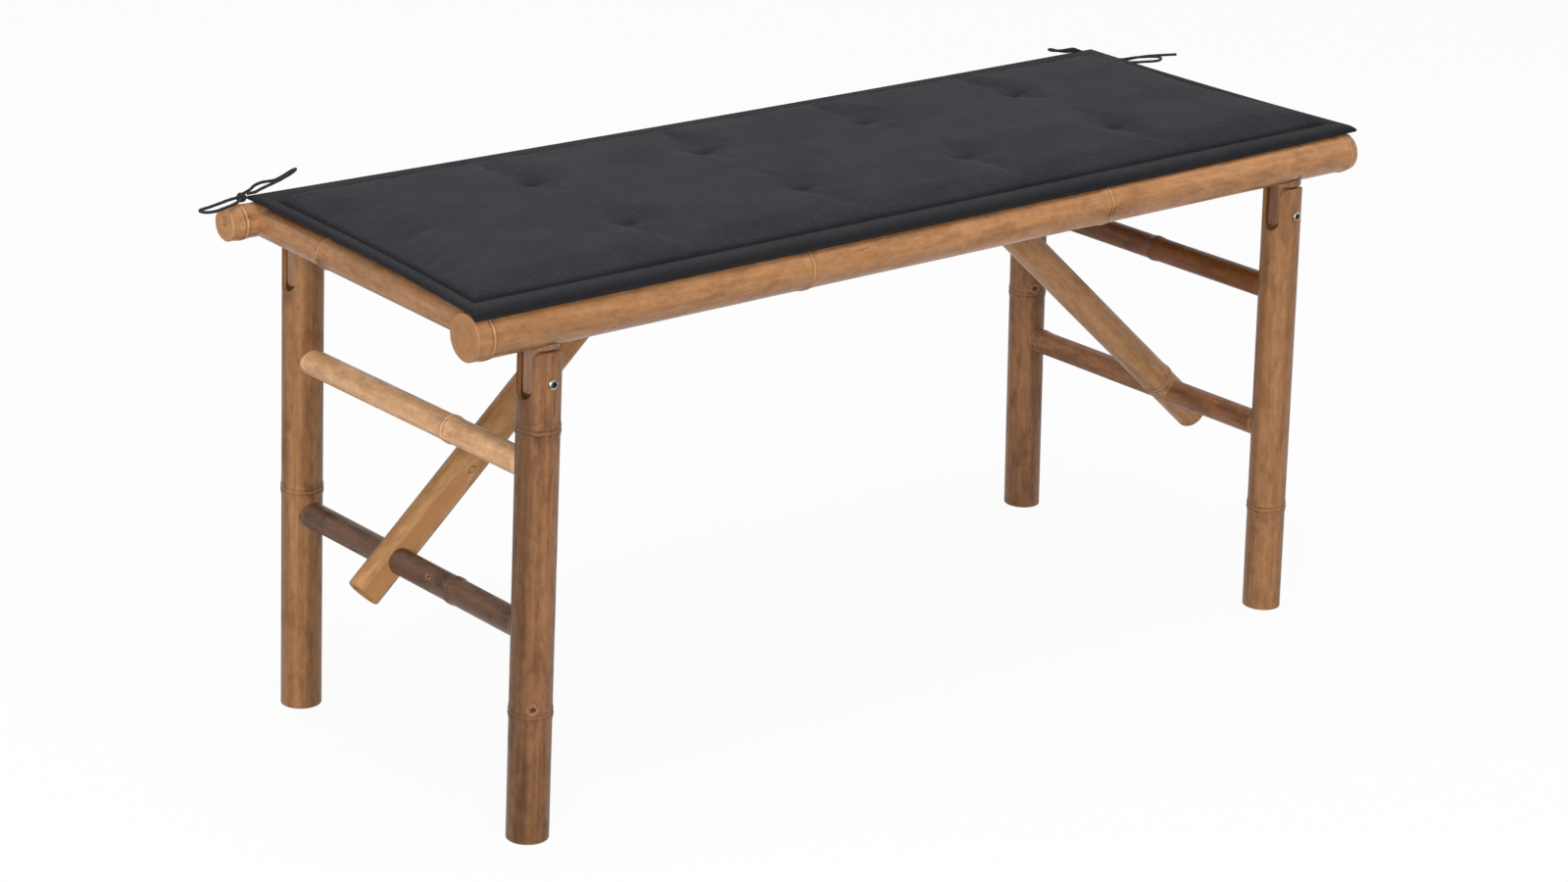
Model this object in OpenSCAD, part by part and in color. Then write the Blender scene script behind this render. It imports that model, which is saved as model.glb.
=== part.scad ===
// Folding garden bench made of bamboo canes, with a tufted seat cushion.
// A leg frame hangs on two bolts at each end of the seat and folds flat under it.
// A brace turns on each frame's lower crossbar and catches on a cross rail under the seat,
// which holds the frame upright.
// The origin is on the floor under the middle of the bench.
// +X runs along the seat, +Y to the back and +Z up. All sizes are in millimetres.

/* [Seat frame] */
// Length of the front and back rails
seat_l = 1180; // [1080:10:1280]
// Distance between the centre lines of the front and back rails
rail_gap = 400; // [370:5:440]
// Height of the top of both rails above the floor
frame_h = 543; // [520:1:600]
// Radius of the front rail at its thick left end
front_rail_r = 23; // [21:0.5:25]
// Radius of the front rail at its thin right end
front_rail_tip_r = 21; // [20:0.5:23]
// Radius of the back rail
back_rail_r = 17; // [17:0.5:20]
// Radius of the end rails
end_rail_r = 15; // [13:0.5:15]
// Distance from the rails' ends to the middle of an end rail
end_rail_inset = 35; // [34:1:44]
// Slant of the end rails, in degrees
end_rail_slant = 2.5; // [0:0.5:4]
// Radius of the round tenons on the end rails
end_tenon_r = 9; // [7:0.5:10]
// Depth of a tenon in a rail
tenon_depth = 14; // [10:1:16]

/* [Slatted base] */
// Radius of the cross rails under the slats
cross_rail_r = 14; // [13:0.5:15]
// Distance from a hinge in to the inner cross rail
inner_cross_in = 300.5; // [296.5:1:320.5]
// Distance from a hinge in to the outer cross rail
outer_cross_in = 49.5; // [45.5:1:81.5]
// Radius of the round tenons on the cross rails
cross_tenon_r = 8; // [6:0.5:8]
// Depth of the flat on a cross rail that the slats lie on
cross_flat = 1; // [0.5:0.25:2]
// Number of slats
slat_count = 8; // [6:1:8]
// Width of a slat
slat_w = 32; // [24:1:34]
// Height of a slat at its crown
slat_h = 8; // [6:0.5:9]
// Gap between the end of a slat and an end rail
slat_end_gap = 14; // [12:1:20]
// Distance from the top of a slat down from the top of the rails
slat_drop = 0.5; // [0.5:0.5:3]

/* [Leg frames] */
// Distance from a rail's end in to the hinge
hinge_inset = 88.5; // [85:0.5:105]
// Distance from the top of the rails down to the hinge bolts
hinge_down = 79; // [78:1:103]
// Distance of a leg from the middle of the rail above it
leg_inset = 4; // [0:1:6]
// Radius of the legs
leg_r = 21; // [20:0.5:22]
// Wall of the hollow ends of a leg
leg_wall = 4.5; // [4:0.5:6]
// How far the left feet stand out from their hinges
left_foot_out = 4.5; // [0:0.5:30]
// How far the right feet stand out from their hinges
right_foot_out = 22.5; // [0:0.5:30]
// Radius of the crossbars
bar_r = 13.5; // [12:0.5:14]
// Height of the lower crossbars above the floor
low_bar_h = 212; // [200:1:230]
// Distance from the hinge bolts down to the upper crossbars
top_bar_down = 89.5; // [79:0.5:114]
// Distance from a crossbar's end to the middle of the leg
bar_end_inset = 8; // [4:1:10]

/* [Hinges] */
// Thickness of the hinge tongue, along the bolt
tongue_t = 23; // [20:0.5:24]
// Width of the hinge tongue
tongue_w = 29; // [24:0.5:30]
// Distance from the bolt down to the tongue's lower end
tongue_drop = 12; // [10:0.5:12.5]
// Gap between the tongue and each ear of the leg
ear_gap = 0.5; // [0.3:0.1:1]
// Distance from the bolt up to the top of a leg's ears
ear_h = 30.5; // [27:0.5:31]
// Radius of the rounded corners at the top of the ears
ear_corner_r = 9.5; // [8:0.5:13]
// Distance from the bolt down to the bottom of the slot
slot_drop = 17; // [16:0.5:20]
// Gap between the ears' tops and the collar above them
collar_gap = 2; // [1.5:0.25:4]
// Radius of the collar on top of a tongue
collar_r = 18; // [17:0.5:20]
// Radius of a hinge bolt
bolt_r = 3; // [2.5:0.25:4]
// Radius of a bolt's head
bolt_head_r = 5.4; // [5:0.1:6.5]
// Thickness of a bolt's head
bolt_head_t = 3; // [2.5:0.25:3.5]
// How far the heads are sunk into the ears
head_sink = 0.8; // [0.5:0.1:1.2]
// Width of the hexagonal recess, corner to corner
hex_w = 5.8; // [5:0.1:6.5]
// Radius of the nuts that are set into the inner ears
nut_r = 5; // [4.6:0.1:5.4]
// Length of the nuts
nut_l = 6.3; // [5:0.1:6.3]

/* [Braces] */
// Radius of the cane that a brace is made of
brace_r = 17.8; // [17:0.2:18.6]
// Wall of the hollow ends of a brace
brace_wall = 6; // [5:0.5:7]
// Distance from the middle of the bench to the middle of a brace
brace_y = 34.5; // [30:0.5:40]
// Distance from the middle of a brace to the middle of the crossbar in it
brace_bar_off = 1; // [0:0.5:1.5]
// Length of the left brace below its crossbar
left_brace_tail = 47; // [40:1:65]
// Length of the right brace below its crossbar
right_brace_tail = 60; // [40:1:65]
// Length of a brace past the middle of its notch
brace_tip = 22; // [20:1:24]
// Depth of the notch that takes the cross rail
notch_depth = 5.5; // [4:0.5:6]
// Clearance in the notch
notch_gap = 0.4; // [0.3:0.1:1]
// Depth of the natural groove in the left brace
groove_depth = 3.6; // [2:0.2:4]

/* [Cushion] */
// Thickness of the cushion's sewn edge at its rim
flange_t = 3.5; // [3:0.5:5]
// Width of the sewn edge along the front and the back
flange_w = 33; // [28:1:38]
// Width of the sewn edge at the two ends
end_flange_w = 18; // [14:1:33]
// Height of the sewn edge where it lies over the rails
flange_h = 4.2; // [4:0.1:6]
// How far the front rim hangs down
rim_drop = 4.5; // [0:0.5:4.5]
// Depth of the seam groove
seam_dip = 1.6; // [1:0.2:3]
// Rise of the pad's side above the seam
pad_rise = 11; // [8:1:16]
// Width of the pad's rounded side
pad_edge = 11; // [8:1:16]
// Height of the crown above the pad's sides
crown = 5; // [2:1:12]
// Distance over which the crown rises
crown_run = 90; // [60:5:110]
// How far the back and the ends draw in between the corners
draw_in = 6; // [0:1:10]
// Depth of a tuft at its middle
tuft_depth = 6; // [4:1:12]
// Radius of the hollow round a tuft
tuft_r = 26; // [20:1:36]
// Number of tufts along the cushion
tuft_columns = 4; // [3:1:5]
// Distance between the columns of tufts
tuft_pitch_x = 220; // [190:5:230]
// Distance between the two rows of tufts
tuft_pitch_y = 156; // [130:2:170]
// Gap under the cushion
cushion_gap = 0.3; // [0.3:0.1:1]

/* [Fasteners and ties] */
// Radius of a nail
nail_r = 1.3; // [1:0.1:1.6]
// Radius of a nail's head
nail_head_r = 2.4; // [2:0.1:3]
// Length of the nails in the slats
slat_nail_l = 18; // [14:1:20]
// Length of the nails in the hinge tenons
tenon_nail_l = 20; // [16:1:24]
// Thickness of a nail's head
nail_head_t = 0.8; // [0.6:0.1:1.2]
// Diameter of the tie cords
cord_d = 3.2; // [2.6:0.2:4]
// Diameter of the knots
knot_d = 11; // [9:0.5:13]

/* [Fits] */
// Radial clearance of glued tenons, nails and heads
seat_fit = 0.05; // [0.02:0.01:0.1]
// Radial clearance of parts that turn
turn_fit = 0.08; // [0.03:0.01:0.1]

/* [Hidden] */
$fn = 72;
front_y = -rail_gap / 2;
back_y = rail_gap / 2;
hinge_x = seat_l / 2 - hinge_inset;
hinge_h = frame_h - hinge_down;
top_bar_h = hinge_h - top_bar_down;
inner_cross_x = hinge_x - inner_cross_in;
outer_cross_x = hinge_x - outer_cross_in;
front_rail_z = frame_h - front_rail_r;
back_rail_z = frame_h - back_rail_r;
end_rail_z = (front_rail_z + back_rail_z) / 2;
end_rail_x = seat_l / 2 - end_rail_inset;
slat_seat_z = frame_h - slat_drop - slat_h;
cross_rail_z = slat_seat_z + cross_flat - cross_rail_r;
slat_l = 2 * (end_rail_x - end_rail_r - slat_end_gap);
slat_arc_r = (slat_w * slat_w / 4 + slat_h * slat_h) / (2 * slat_h);
slat_front_y = front_y + front_rail_r;
slat_pitch = (back_y - back_rail_r - slat_front_y) / slat_count;
// Half the length of a cross or end rail, from tenon end to tenon end
tenon_reach = rail_gap / 2 - back_rail_r + tenon_depth;

leg_y = rail_gap / 2 - leg_inset;
slot_w = tongue_t + 2 * ear_gap;
slot_corner_r = slot_w / 2 - 1;
tongue_corner_r = slot_corner_r - ear_gap;
tongue_edge_r = tongue_corner_r - 2.5;
ear_half_w = sqrt(leg_r * leg_r - slot_w * slot_w / 4);
leg_bore_r = leg_r - leg_wall;
leg_bore_drop = 42;
foot_bore_depth = 24;
foot_trim = 2;
collar_z = ear_h + collar_gap;
head_y = leg_r - head_sink;
nut_y = slot_w / 2 + 0.3;
nut_end = nut_y + nut_l;

left_splay = atan(left_foot_out / hinge_h);
right_splay = atan(right_foot_out / hinge_h);
notch_off = brace_r + brace_bar_off - notch_depth + cross_rail_r;
chamfer = 1.2;
// The natural groove runs from a brace's tail to here, and faces the front and a little up
groove_end = 90;
groove_r = 80;
groove_turn = 12;

// How far a cane's node stands out
ridge_h = 1.1;
cushion_z = frame_h + ridge_h + cushion_gap;
tuft_mid = [10, -12];
// Width of the part of the front edge that hangs down
rim_w = 12;

// Places of the canes' nodes, in rising order: along the rails, and heights above the floor
front_rail_nodes = [17 - seat_l / 2, -193, 213, seat_l / 2 - 11];
back_rail_nodes = [16 - seat_l / 2, -310, 60, 395];
front_left_leg_nodes = [132, hinge_h - 47];
back_left_leg_nodes = [237];
front_right_leg_nodes = [122];
back_right_leg_nodes = [270];
// Places of the canes' nodes from the middle of a crossbar, and from a brace's crossbar
left_upper_bar_nodes = [-62];
left_lower_bar_nodes = [-72];
right_upper_bar_nodes = [-148, 13];
right_lower_bar_nodes = [-166];
left_brace_nodes = [335];
right_brace_nodes = [24];
end_rail_nodes = [72];

// The cushion's corners: front left, front right, back right and back left
cushion_l = seat_l + 10;
cushion_w = rail_gap + 28;
cushion_mid_y = -4;
corner_shift = [[4, 0], [3, 10], [0, -9], [38, 0]];

// The end, back and top of the seat frame where the ties' routes were laid
laid_at = [590, 200, 543];

// Routes of the ties, laid by hand from each knot
left_knot = [-561.3, 213.9, 545.8];
left_long_route = [[-565, 212, 547], [-573, 211.3, 546.8], [-581, 209.5, 546.5], [-589, 207.3, 546],
    [-597, 204.9, 545.8], [-605, 202.2, 545.7], [-613, 200.1, 545.7], [-618.2, 198, 545.8],
    [-620.6, 193, 545.9], [-618.2, 188, 546], [-613, 185.9, 546], [-605, 186.9, 546],
    [-597, 189.5, 546.2], [-589, 192.5, 546.3], [-581, 196, 546.4], [-573, 201, 546.5],
    [-565.5, 208.5, 546]];
left_short_route = [[-559, 215, 548.8], [-549.5, 217.2, 550.9], [-543.3, 218, 554.2],
    [-535.7, 218.3, 555.9], [-528.5, 218, 556.1], [-521.4, 217.5, 556.1], [-514.3, 217, 558],
    [-507.8, 216.3, 560.8], [-502.7, 214.8, 563.7], [-501.1, 210.5, 566.3], [-503.9, 205.2, 567.4],
    [-510.3, 201.8, 566], [-517.5, 201.4, 563.5], [-524.6, 202, 560.7], [-531.5, 202.8, 558.4],
    [-538.2, 203.8, 556.2], [-544.3, 205.4, 553.8], [-549.4, 207.6, 551], [-556.5, 211.8, 549.2]];
right_knot = [597.5, 203, 539.5];
right_short_route = [[596.5, 208.3, 541.5], [589, 213.8, 543.3], [580, 215, 544.2], [571, 215, 544.8],
    [562, 216, 546.2], [553, 216.5, 548.4], [544, 215.5, 551], [537, 212, 552.4], [534.5, 206, 553],
    [538, 200.5, 553.2], [546, 198.5, 553.2], [555, 199.5, 552.8], [564, 203, 551.6], [573, 207, 549.6],
    [581, 208.6, 546.6], [588.5, 208.3, 543.6], [594.6, 204.9, 541.2]];
right_long_route = [[602.3, 201, 540.5], [608.4, 191, 539.1], [617.3, 183.5, 536.6],
    [626.4, 176.5, 536.9], [633.8, 169.5, 539.1], [641.2, 162.5, 540.5], [647.5, 156, 541.5],
    [652.2, 149.5, 542.2], [653.1, 143.5, 542], [645.2, 137.5, 541.7], [635.7, 138, 541.5],
    [628.9, 144, 540.6], [622.1, 151.5, 539.2], [614.1, 159.5, 538.5], [606.4, 168, 538.8],
    [599.8, 177.5, 539.3], [595.5, 187, 539.9], [600, 198.5, 538]];
right_tail_route = [[602, 206, 541.5], [609, 202.5, 540.5], [615.4, 198.5, 535.1], [625.2, 191, 532.6],
    [634.9, 183, 533.5], [643.3, 175.5, 536.5], [652.3, 168.5, 538.6], [660.3, 162, 539.9],
    [668.8, 156, 540.6], [675.7, 150, 541.5], [681.1, 145, 542.2]];

// Canes

function ridge(z, r) = [[r, z - 9], [r + ridge_h, z - 2], [r + 0.2, z - 0.5],
    [r + 0.2, z + 0.5], [r + 0.8 * ridge_h, z + 1.8], [r, z + 8]];

function flat_list(lists) = [for (l = lists) for (p = l) p];

// A cane along +Z from 0, with a ridge at each node and trimmed edges
module cane(length, r_start, r_end, nodes) {
    rotate_extrude()
        polygon(concat(
            [[0, 0], [r_start - chamfer, 0], [r_start, chamfer]],
            flat_list([for (z = nodes) ridge(z, r_start + (r_end - r_start) * z / length)]),
            [[r_end, length - chamfer], [r_end - chamfer, length], [0, length]]));
}

// A plain bore along +Y that starts at y
module bore_y(y, depth, r) {
    translate([0, y, 0]) rotate([-90, 0, 0]) cylinder(h = depth, r = r);
}

module rounded_rect(w, h, r) {
    square([w - 2 * r, h], center = true);
    square([w, h - 2 * r], center = true);
    for (x = [-1, 1], y = [-1, 1])
        translate([x * (w / 2 - r), y * (h / 2 - r)]) circle(r);
}

// Places that the modules share

// The long rails' blanks: an unworked cane, grown by extra all round
module front_rail_core(extra) {
    translate([-seat_l / 2, front_y, front_rail_z]) rotate([0, 90, 0])
        cane(seat_l, front_rail_r + extra, front_rail_tip_r + extra,
            [for (x = front_rail_nodes) x + seat_l / 2]);
}

module back_rail_core(extra) {
    translate([-seat_l / 2, back_y, back_rail_z]) rotate([0, 90, 0])
        cane(seat_l, back_rail_r + extra, back_rail_r + extra,
            [for (x = back_rail_nodes) x + seat_l / 2]);
}

module at_end_rail(side) {
    translate([side * end_rail_x, 0, end_rail_z]) rotate([0, 0, -end_rail_slant]) children();
}

module at_cross_rail(x) {
    translate([x, 0, cross_rail_z]) children();
}

// The left leg frame's own space: the hinge axis is Y and the legs hang down -Z.
// The right frame is the same frame turned half round.
module at_frame(side) {
    rotate([0, 0, side < 0 ? 0 : 180])
        translate([-hinge_x, 0, hinge_h])
            rotate([0, side < 0 ? left_splay : right_splay, 0]) children();
}

function splay(side) = side < 0 ? left_splay : right_splay;
function down_leg(side, h) = (hinge_h - h) / cos(splay(side));

// Where a brace turns, how steep it is and how far away its notch is
function pivot_x(side) = hinge_x + (hinge_h - low_bar_h) * tan(splay(side));
function brace_reach(side) = norm([pivot_x(side) - inner_cross_x, cross_rail_z - low_bar_h]);
function brace_angle(side) = atan2(cross_rail_z - low_bar_h, pivot_x(side) - inner_cross_x)
    - asin(notch_off / brace_reach(side));
function notch_s(side) = sqrt(pow(brace_reach(side), 2) - pow(notch_off, 2));

// Where the hinge blocks go, written as [x side, y side]
hinge_places = [[-1, -1], [-1, 1], [1, -1], [1, 1]];
cross_places = [-outer_cross_x, -inner_cross_x, inner_cross_x, outer_cross_x];

// Seat frame

module rail_mortises() {
    for (side = [-1, 1]) at_end_rail(side)
        bore_y(-tenon_reach, 2 * tenon_reach, end_tenon_r + seat_fit);
    for (x = cross_places) at_cross_rail(x)
        bore_y(-tenon_reach, 2 * tenon_reach, cross_tenon_r + seat_fit);
    for (p = hinge_places)
        translate([p[0] * hinge_x, p[1] * leg_y, hinge_h])
            cylinder(h = tenon_top(p[1]) - hinge_h + seat_fit, r = cross_tenon_r + seat_fit);
    tenon_nail_places() nail(tenon_nail_l, seat_fit);
}

// Top of a hinge block's tenon in the front or back rail
function tenon_top(y_side) = (y_side < 0 ? front_rail_z : back_rail_z) + 4;

module front_rail() {
    color("#c08a55") difference() {
        front_rail_core(0);
        rail_mortises();
    }
}

module back_rail() {
    color("#bd8450") difference() {
        back_rail_core(0);
        rail_mortises();
        for (side = [-1, 1])
            translate([side * seat_l / 2, back_y, back_rail_z + 3]) rotate([0, 90, 0])
                cylinder(h = 24, r = 5, center = true);
    }
}

// A round rail across the frame, coped onto the long rails, with a tenon at each end
module rail_across(r, tenon_r, nodes) {
    difference() {
        translate([0, -leg_y, 0]) rotate([-90, 0, 0])
            cane(2 * leg_y, r, r, [for (y = nodes) y + leg_y]);
        children();
    }
    bore_y(-tenon_reach, 2 * tenon_reach, tenon_r);
}

module end_rail(side) {
    color("#c48f5c") at_end_rail(side)
        rail_across(end_rail_r, end_tenon_r, end_rail_nodes)
            rotate([0, 0, end_rail_slant]) translate([-side * end_rail_x, 0, -end_rail_z]) {
                front_rail_core(seat_fit);
                back_rail_core(seat_fit);
            }
}

module cross_rail(x) {
    color("#b57f4c") difference() {
        at_cross_rail(x) rail_across(cross_rail_r, cross_tenon_r, [])
            translate([-x, 0, -cross_rail_z]) {
                front_rail_core(seat_fit);
                back_rail_core(seat_fit);
            }
        translate([x - cross_rail_r, front_y + front_rail_r / 2, slat_seat_z])
            cube([2 * cross_rail_r, rail_gap - front_rail_r, 2 * cross_flat + 1]);
        slat_nail_places() nail(slat_nail_l, seat_fit);
    }
}

function slat_y(i) = slat_front_y + slat_pitch * (i - 0.5);

// A slat split from a thick cane: flat below and crowned above
module slat(i) {
    color("#cda36c") difference() {
        intersection() {
            translate([-slat_l / 2, slat_y(i), slat_seat_z + slat_h - slat_arc_r])
                rotate([0, 90, 0]) cylinder(h = slat_l, r = slat_arc_r);
            translate([-slat_l / 2, slat_y(i) - slat_w / 2, slat_seat_z])
                cube([slat_l, slat_w, slat_h]);
        }
        slat_nail_places() nail(slat_nail_l, seat_fit);
    }
}

// A nail along -Z with its head's top at 0, grown by fit for the hole it sits in
module nail(length, fit) {
    translate([0, 0, -length]) cylinder(h = length, r = nail_r + fit, $fn = 24);
    translate([0, 0, -nail_head_t])
        cylinder(h = nail_head_t + (fit > 0 ? 2 : 0), r = nail_head_r + fit, $fn = 24);
}

module slat_nail_places() {
    for (x = cross_places, i = [1:slat_count])
        translate([x, slat_y(i), slat_seat_z + slat_h - nail_head_t / 4]) children();
}

module slat_nails() {
    color("#8d8a84") slat_nail_places() nail(slat_nail_l, 0);
}

// Radius of a long rail at a place along it
function rail_r(x, y_side) = y_side > 0 ? back_rail_r :
    front_rail_r + (front_rail_tip_r - front_rail_r) * (x / seat_l + 0.5);

module tenon_nail_places() {
    drop = 12;
    for (p = hinge_places) {
        x = p[0] * hinge_x;
        z = p[1] < 0 ? front_rail_z : back_rail_z;
        y = rail_gap / 2 + sqrt(pow(rail_r(x, p[1]), 2) - drop * drop) - nail_head_t / 4;
        translate([x, p[1] * y, z - drop]) rotate([-90 * p[1], 0, 0]) children();
    }
}

module tenon_nails() {
    color("#6d6862") tenon_nail_places() nail(tenon_nail_l, 0);
}

// Hinges

// The tongue hangs from the rail between the two ears of a leg
module hinge_block(x_side, y_side) {
    color("#a06f45") difference() {
        translate([x_side * hinge_x, y_side * leg_y, hinge_h]) {
            difference() {
                union() {
                    intersection() {
                        translate([0, 0, -tongue_drop]) linear_extrude(tongue_drop + collar_z + 1)
                            rounded_rect(tongue_w, tongue_t, tongue_edge_r);
                        rotate([90, 0, 90]) linear_extrude(tongue_w + 2, center = true)
                            translate([0, collar_z])
                                rounded_rect(tongue_t, 2 * (tongue_drop + collar_z), tongue_corner_r);
                    }
                    translate([0, 0, collar_z])
                        cylinder(h = back_rail_z - hinge_h - collar_z, r = collar_r);
                }
                translate([-x_side * hinge_x, -y_side * leg_y, -hinge_h])
                    if (y_side < 0) front_rail_core(seat_fit); else back_rail_core(seat_fit);
            }
            translate([0, 0, collar_z])
                cylinder(h = tenon_top(y_side) - hinge_h - collar_z, r = cross_tenon_r);
        }
        translate([x_side * hinge_x, y_side * leg_y, hinge_h])
            bore_y(-leg_r, 2 * leg_r, bolt_r + turn_fit);
        tenon_nail_places() nail(tenon_nail_l, seat_fit);
    }
}

// Legs

module slot_tool() {
    h = ear_h + slot_drop + 20;
    rotate([90, 0, 90]) linear_extrude(3 * leg_r, center = true)
        translate([0, h / 2 - slot_drop]) rounded_rect(slot_w, h, slot_corner_r);
}

module ear_corner_tool() {
    rotate([90, 0, 0]) linear_extrude(3 * leg_r, center = true) difference() {
        translate([-2 * leg_r, ear_h - ear_corner_r]) square([4 * leg_r, 2 * ear_corner_r]);
        translate([0, ear_h - 2 * ear_corner_r])
            rounded_rect(2 * ear_half_w, 4 * ear_corner_r, ear_corner_r);
    }
}

// The bolt's hole in the outer ear, the seat of its head and the pocket of its nut
module bolt_holes() {
    bore_y(-2 * leg_r, 2 * leg_r, bolt_r + seat_fit);
    bore_y(-2 * leg_r, 2 * leg_r - head_y, bolt_head_r + seat_fit);
    bore_y(0, nut_end + 0.2, nut_r + seat_fit);
}

// A leg of one end's frame. place is -1 or 1, the side along the frame's own Y.
module leg(side, place, heights) {
    foot = down_leg(side, 0) + leg_r * tan(splay(side)) + foot_trim;
    color("#9a6b43") difference() {
        at_frame(side) translate([0, place * leg_y, 0]) difference() {
            translate([0, 0, -foot]) cane(foot + ear_h, leg_r, leg_r,
                [for (h = heights) foot - down_leg(side, h)]);
            translate([0, 0, -leg_bore_drop])
                cylinder(h = leg_bore_drop + ear_h + 1, r = leg_bore_r);
            translate([0, 0, -foot - 1])
                cylinder(h = foot_bore_depth + foot_trim + 1, r = leg_bore_r);
            slot_tool();
            ear_corner_tool();
            rotate([0, 0, place < 0 ? 0 : 180]) bolt_holes();
            for (h = [low_bar_h, top_bar_h])
                translate([0, 0, -down_leg(side, h)])
                    rotate([0, 0, place < 0 ? 0 : 180])
                        bore_y(bar_end_inset, leg_r, bar_r + seat_fit);
        }
        translate([-seat_l, -seat_l / 2, -100]) cube([2 * seat_l, seat_l, 100]);
    }
}

module crossbar(side, h, nodes, tint) {
    half = leg_y - bar_end_inset;
    color(tint) at_frame(side) translate([0, -half, -down_leg(side, h)]) rotate([-90, 0, 0])
        cane(2 * half, bar_r, bar_r, [for (y = nodes) y + half]);
}

// Bolts, with their heads on the outside of the bench, and the nuts in the inner ears

module bolt(side, place) {
    color("silver") at_frame(side) translate([0, place * leg_y, 0])
        rotate([0, 0, place < 0 ? 0 : 180]) {
            bore_y(-head_y - 0.5, head_y + nut_end, bolt_r);
            difference() {
                translate([0, -head_y, 0]) rotate([90, 0, 0]) rotate_extrude()
                    polygon([[0, 0], [bolt_head_r, 0], [bolt_head_r, bolt_head_t - 0.8],
                        [bolt_head_r - 0.8, bolt_head_t], [0, bolt_head_t]]);
                translate([0, -head_y - bolt_head_t - 1, 0]) rotate([-90, 0, 0])
                    cylinder(h = bolt_head_t, d = hex_w, $fn = 6);
            }
        }
}

module bolt_nuts(side) {
    color("silver") at_frame(side) for (place = [-1, 1])
        translate([0, place * leg_y, 0]) rotate([0, 0, place < 0 ? 0 : 180]) difference() {
            bore_y(nut_y, nut_l, nut_r);
            bore_y(nut_y - 1, nut_l + 2, bolt_r + seat_fit);
        }
}

// Braces

// A round cane with hollow ends. The crossbar goes through it and the notch takes the cross rail.
module brace(side, nodes, grooved) {
    tail = side < 0 ? left_brace_tail : right_brace_tail;
    length = tail + notch_s(side) + brace_tip;
    hollow_r = brace_r - brace_wall;
    color("#c9995f")
        at_frame(side) translate([0, brace_y, -down_leg(side, low_bar_h)])
            rotate([0, 90 - brace_angle(side) - splay(side), 0]) difference() {
                translate([-brace_bar_off, 0, -tail]) difference() {
                    cane(length, brace_r, brace_r, [for (s = nodes) s + tail]);
                    translate([0, 0, -1]) cylinder(h = tail + 1, r = hollow_r);
                    translate([0, 0, length - brace_tip]) cylinder(h = brace_tip + 1, r = hollow_r);
                    if (grooved) rotate([0, 0, -groove_turn])
                        translate([0, groove_depth - brace_r - groove_r, 0]) {
                            translate([0, 0, -1]) cylinder(h = groove_end + tail + 1, r = groove_r);
                            translate([0, 0, groove_end + tail]) sphere(groove_r);
                        }
                }
                bore_y(-2 * brace_r, 4 * brace_r, bar_r + turn_fit);
                translate([-notch_off, 0, notch_s(side)])
                    bore_y(-2 * brace_r, 4 * brace_r, cross_rail_r + notch_gap);
            }
}

// Cushion

function spread(a, b, n) = [for (i = [1:n]) a + (b - a) * i / (n + 1)];

function tuft_stops(c) = [c - tuft_r, c - tuft_r / 2, c, c + tuft_r / 2, c + tuft_r];

// Grid lines across the cushion, close together at the seams and round the tufts
function grid_lines(half, edge, tufts, side) = concat(
    [for (d = [0, edge / 6, edge / 3, edge / 2, edge, edge + pad_edge / 3, edge + pad_edge]) d - half],
    spread(edge + pad_edge - half, tufts[0] - tuft_r, side),
    [for (i = [0:len(tufts) - 1]) for (g = concat(tuft_stops(tufts[i]),
        i < len(tufts) - 1 ? spread(tufts[i] + tuft_r, tufts[i + 1] - tuft_r, 1) : [])) g],
    spread(tufts[len(tufts) - 1] + tuft_r, half - edge - pad_edge, side),
    [for (d = [edge + pad_edge, edge + pad_edge / 3, edge, edge / 2, 0]) half - d]);

tuft_xs = [for (i = [0:tuft_columns - 1]) tuft_mid[0] + (i - (tuft_columns - 1) / 2) * tuft_pitch_x];
tuft_ys = [for (s = [-1, 1]) tuft_mid[1] - cushion_mid_y + s * tuft_pitch_y / 2];

// How far in from the nearest edge, with the ends' sewn edges stretched to the same width,
// and how full the pad is there
function end_in(u) = let (d = cushion_l / 2 - abs(u))
    d < end_flange_w ? d * flange_w / end_flange_w : d + flange_w - end_flange_w;
function edge_in(u, v) = min(end_in(u), cushion_w / 2 - abs(v));
function ramp(t) = sin(90 * max(0, min(1, t)));
function fullness(from_edge) = ramp((from_edge - flange_w - pad_edge / 2) / crown_run);

function tuft_sink(u, v) = max([for (x = tuft_xs, y = tuft_ys)
    tuft_depth * exp(-2.5 * (pow(u - x, 2) + pow(v - y, 2)) / (tuft_r * tuft_r))]);

// How far the front edge hangs down, less so near the right end, and the sewn edge's height
function hang(u, v) = rim_drop * min(1, 1.6 - 2.3 * u / cushion_l)
    * pow(max(0, 1 - (cushion_w / 2 + v) / rim_w), 2);
function flange_top(d) = d < flange_w / 2 ? flange_t + (flange_h - flange_t) * 2 * d / flange_w :
    flange_h - seam_dip * (2 * d / flange_w - 1);

function cushion_top(u, v) = let (d = edge_in(u, v))
    flange_top(min(d, flange_w)) - hang(u, v) + pad_rise * ramp((d - flange_w) / pad_edge)
    + crown * fullness(end_in(u)) * fullness(cushion_w / 2 - abs(v))
    - (d > flange_w ? tuft_sink(u, v) : 0);

// Draws the back and the ends in between the corners, lets the front out a little and puts
// the corners in their places
function cushion_plan(u, v) = let (
    a = 0.5 + u / cushion_l, b = 0.5 + v / cushion_w,
    shift = (1 - a) * (1 - b) * corner_shift[0] + a * (1 - b) * corner_shift[1]
        + a * b * corner_shift[2] + (1 - a) * b * corner_shift[3],
    x = u * (1 - 2 * draw_in / cushion_l * (1 - pow(2 * v / cushion_w, 2))),
    y = v * (1 - 2 * (v > 0 ? draw_in : -2) / cushion_w * (1 - pow(2 * u / cushion_l, 2))))
    [x + shift[0], y + cushion_mid_y + shift[1]];

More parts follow.
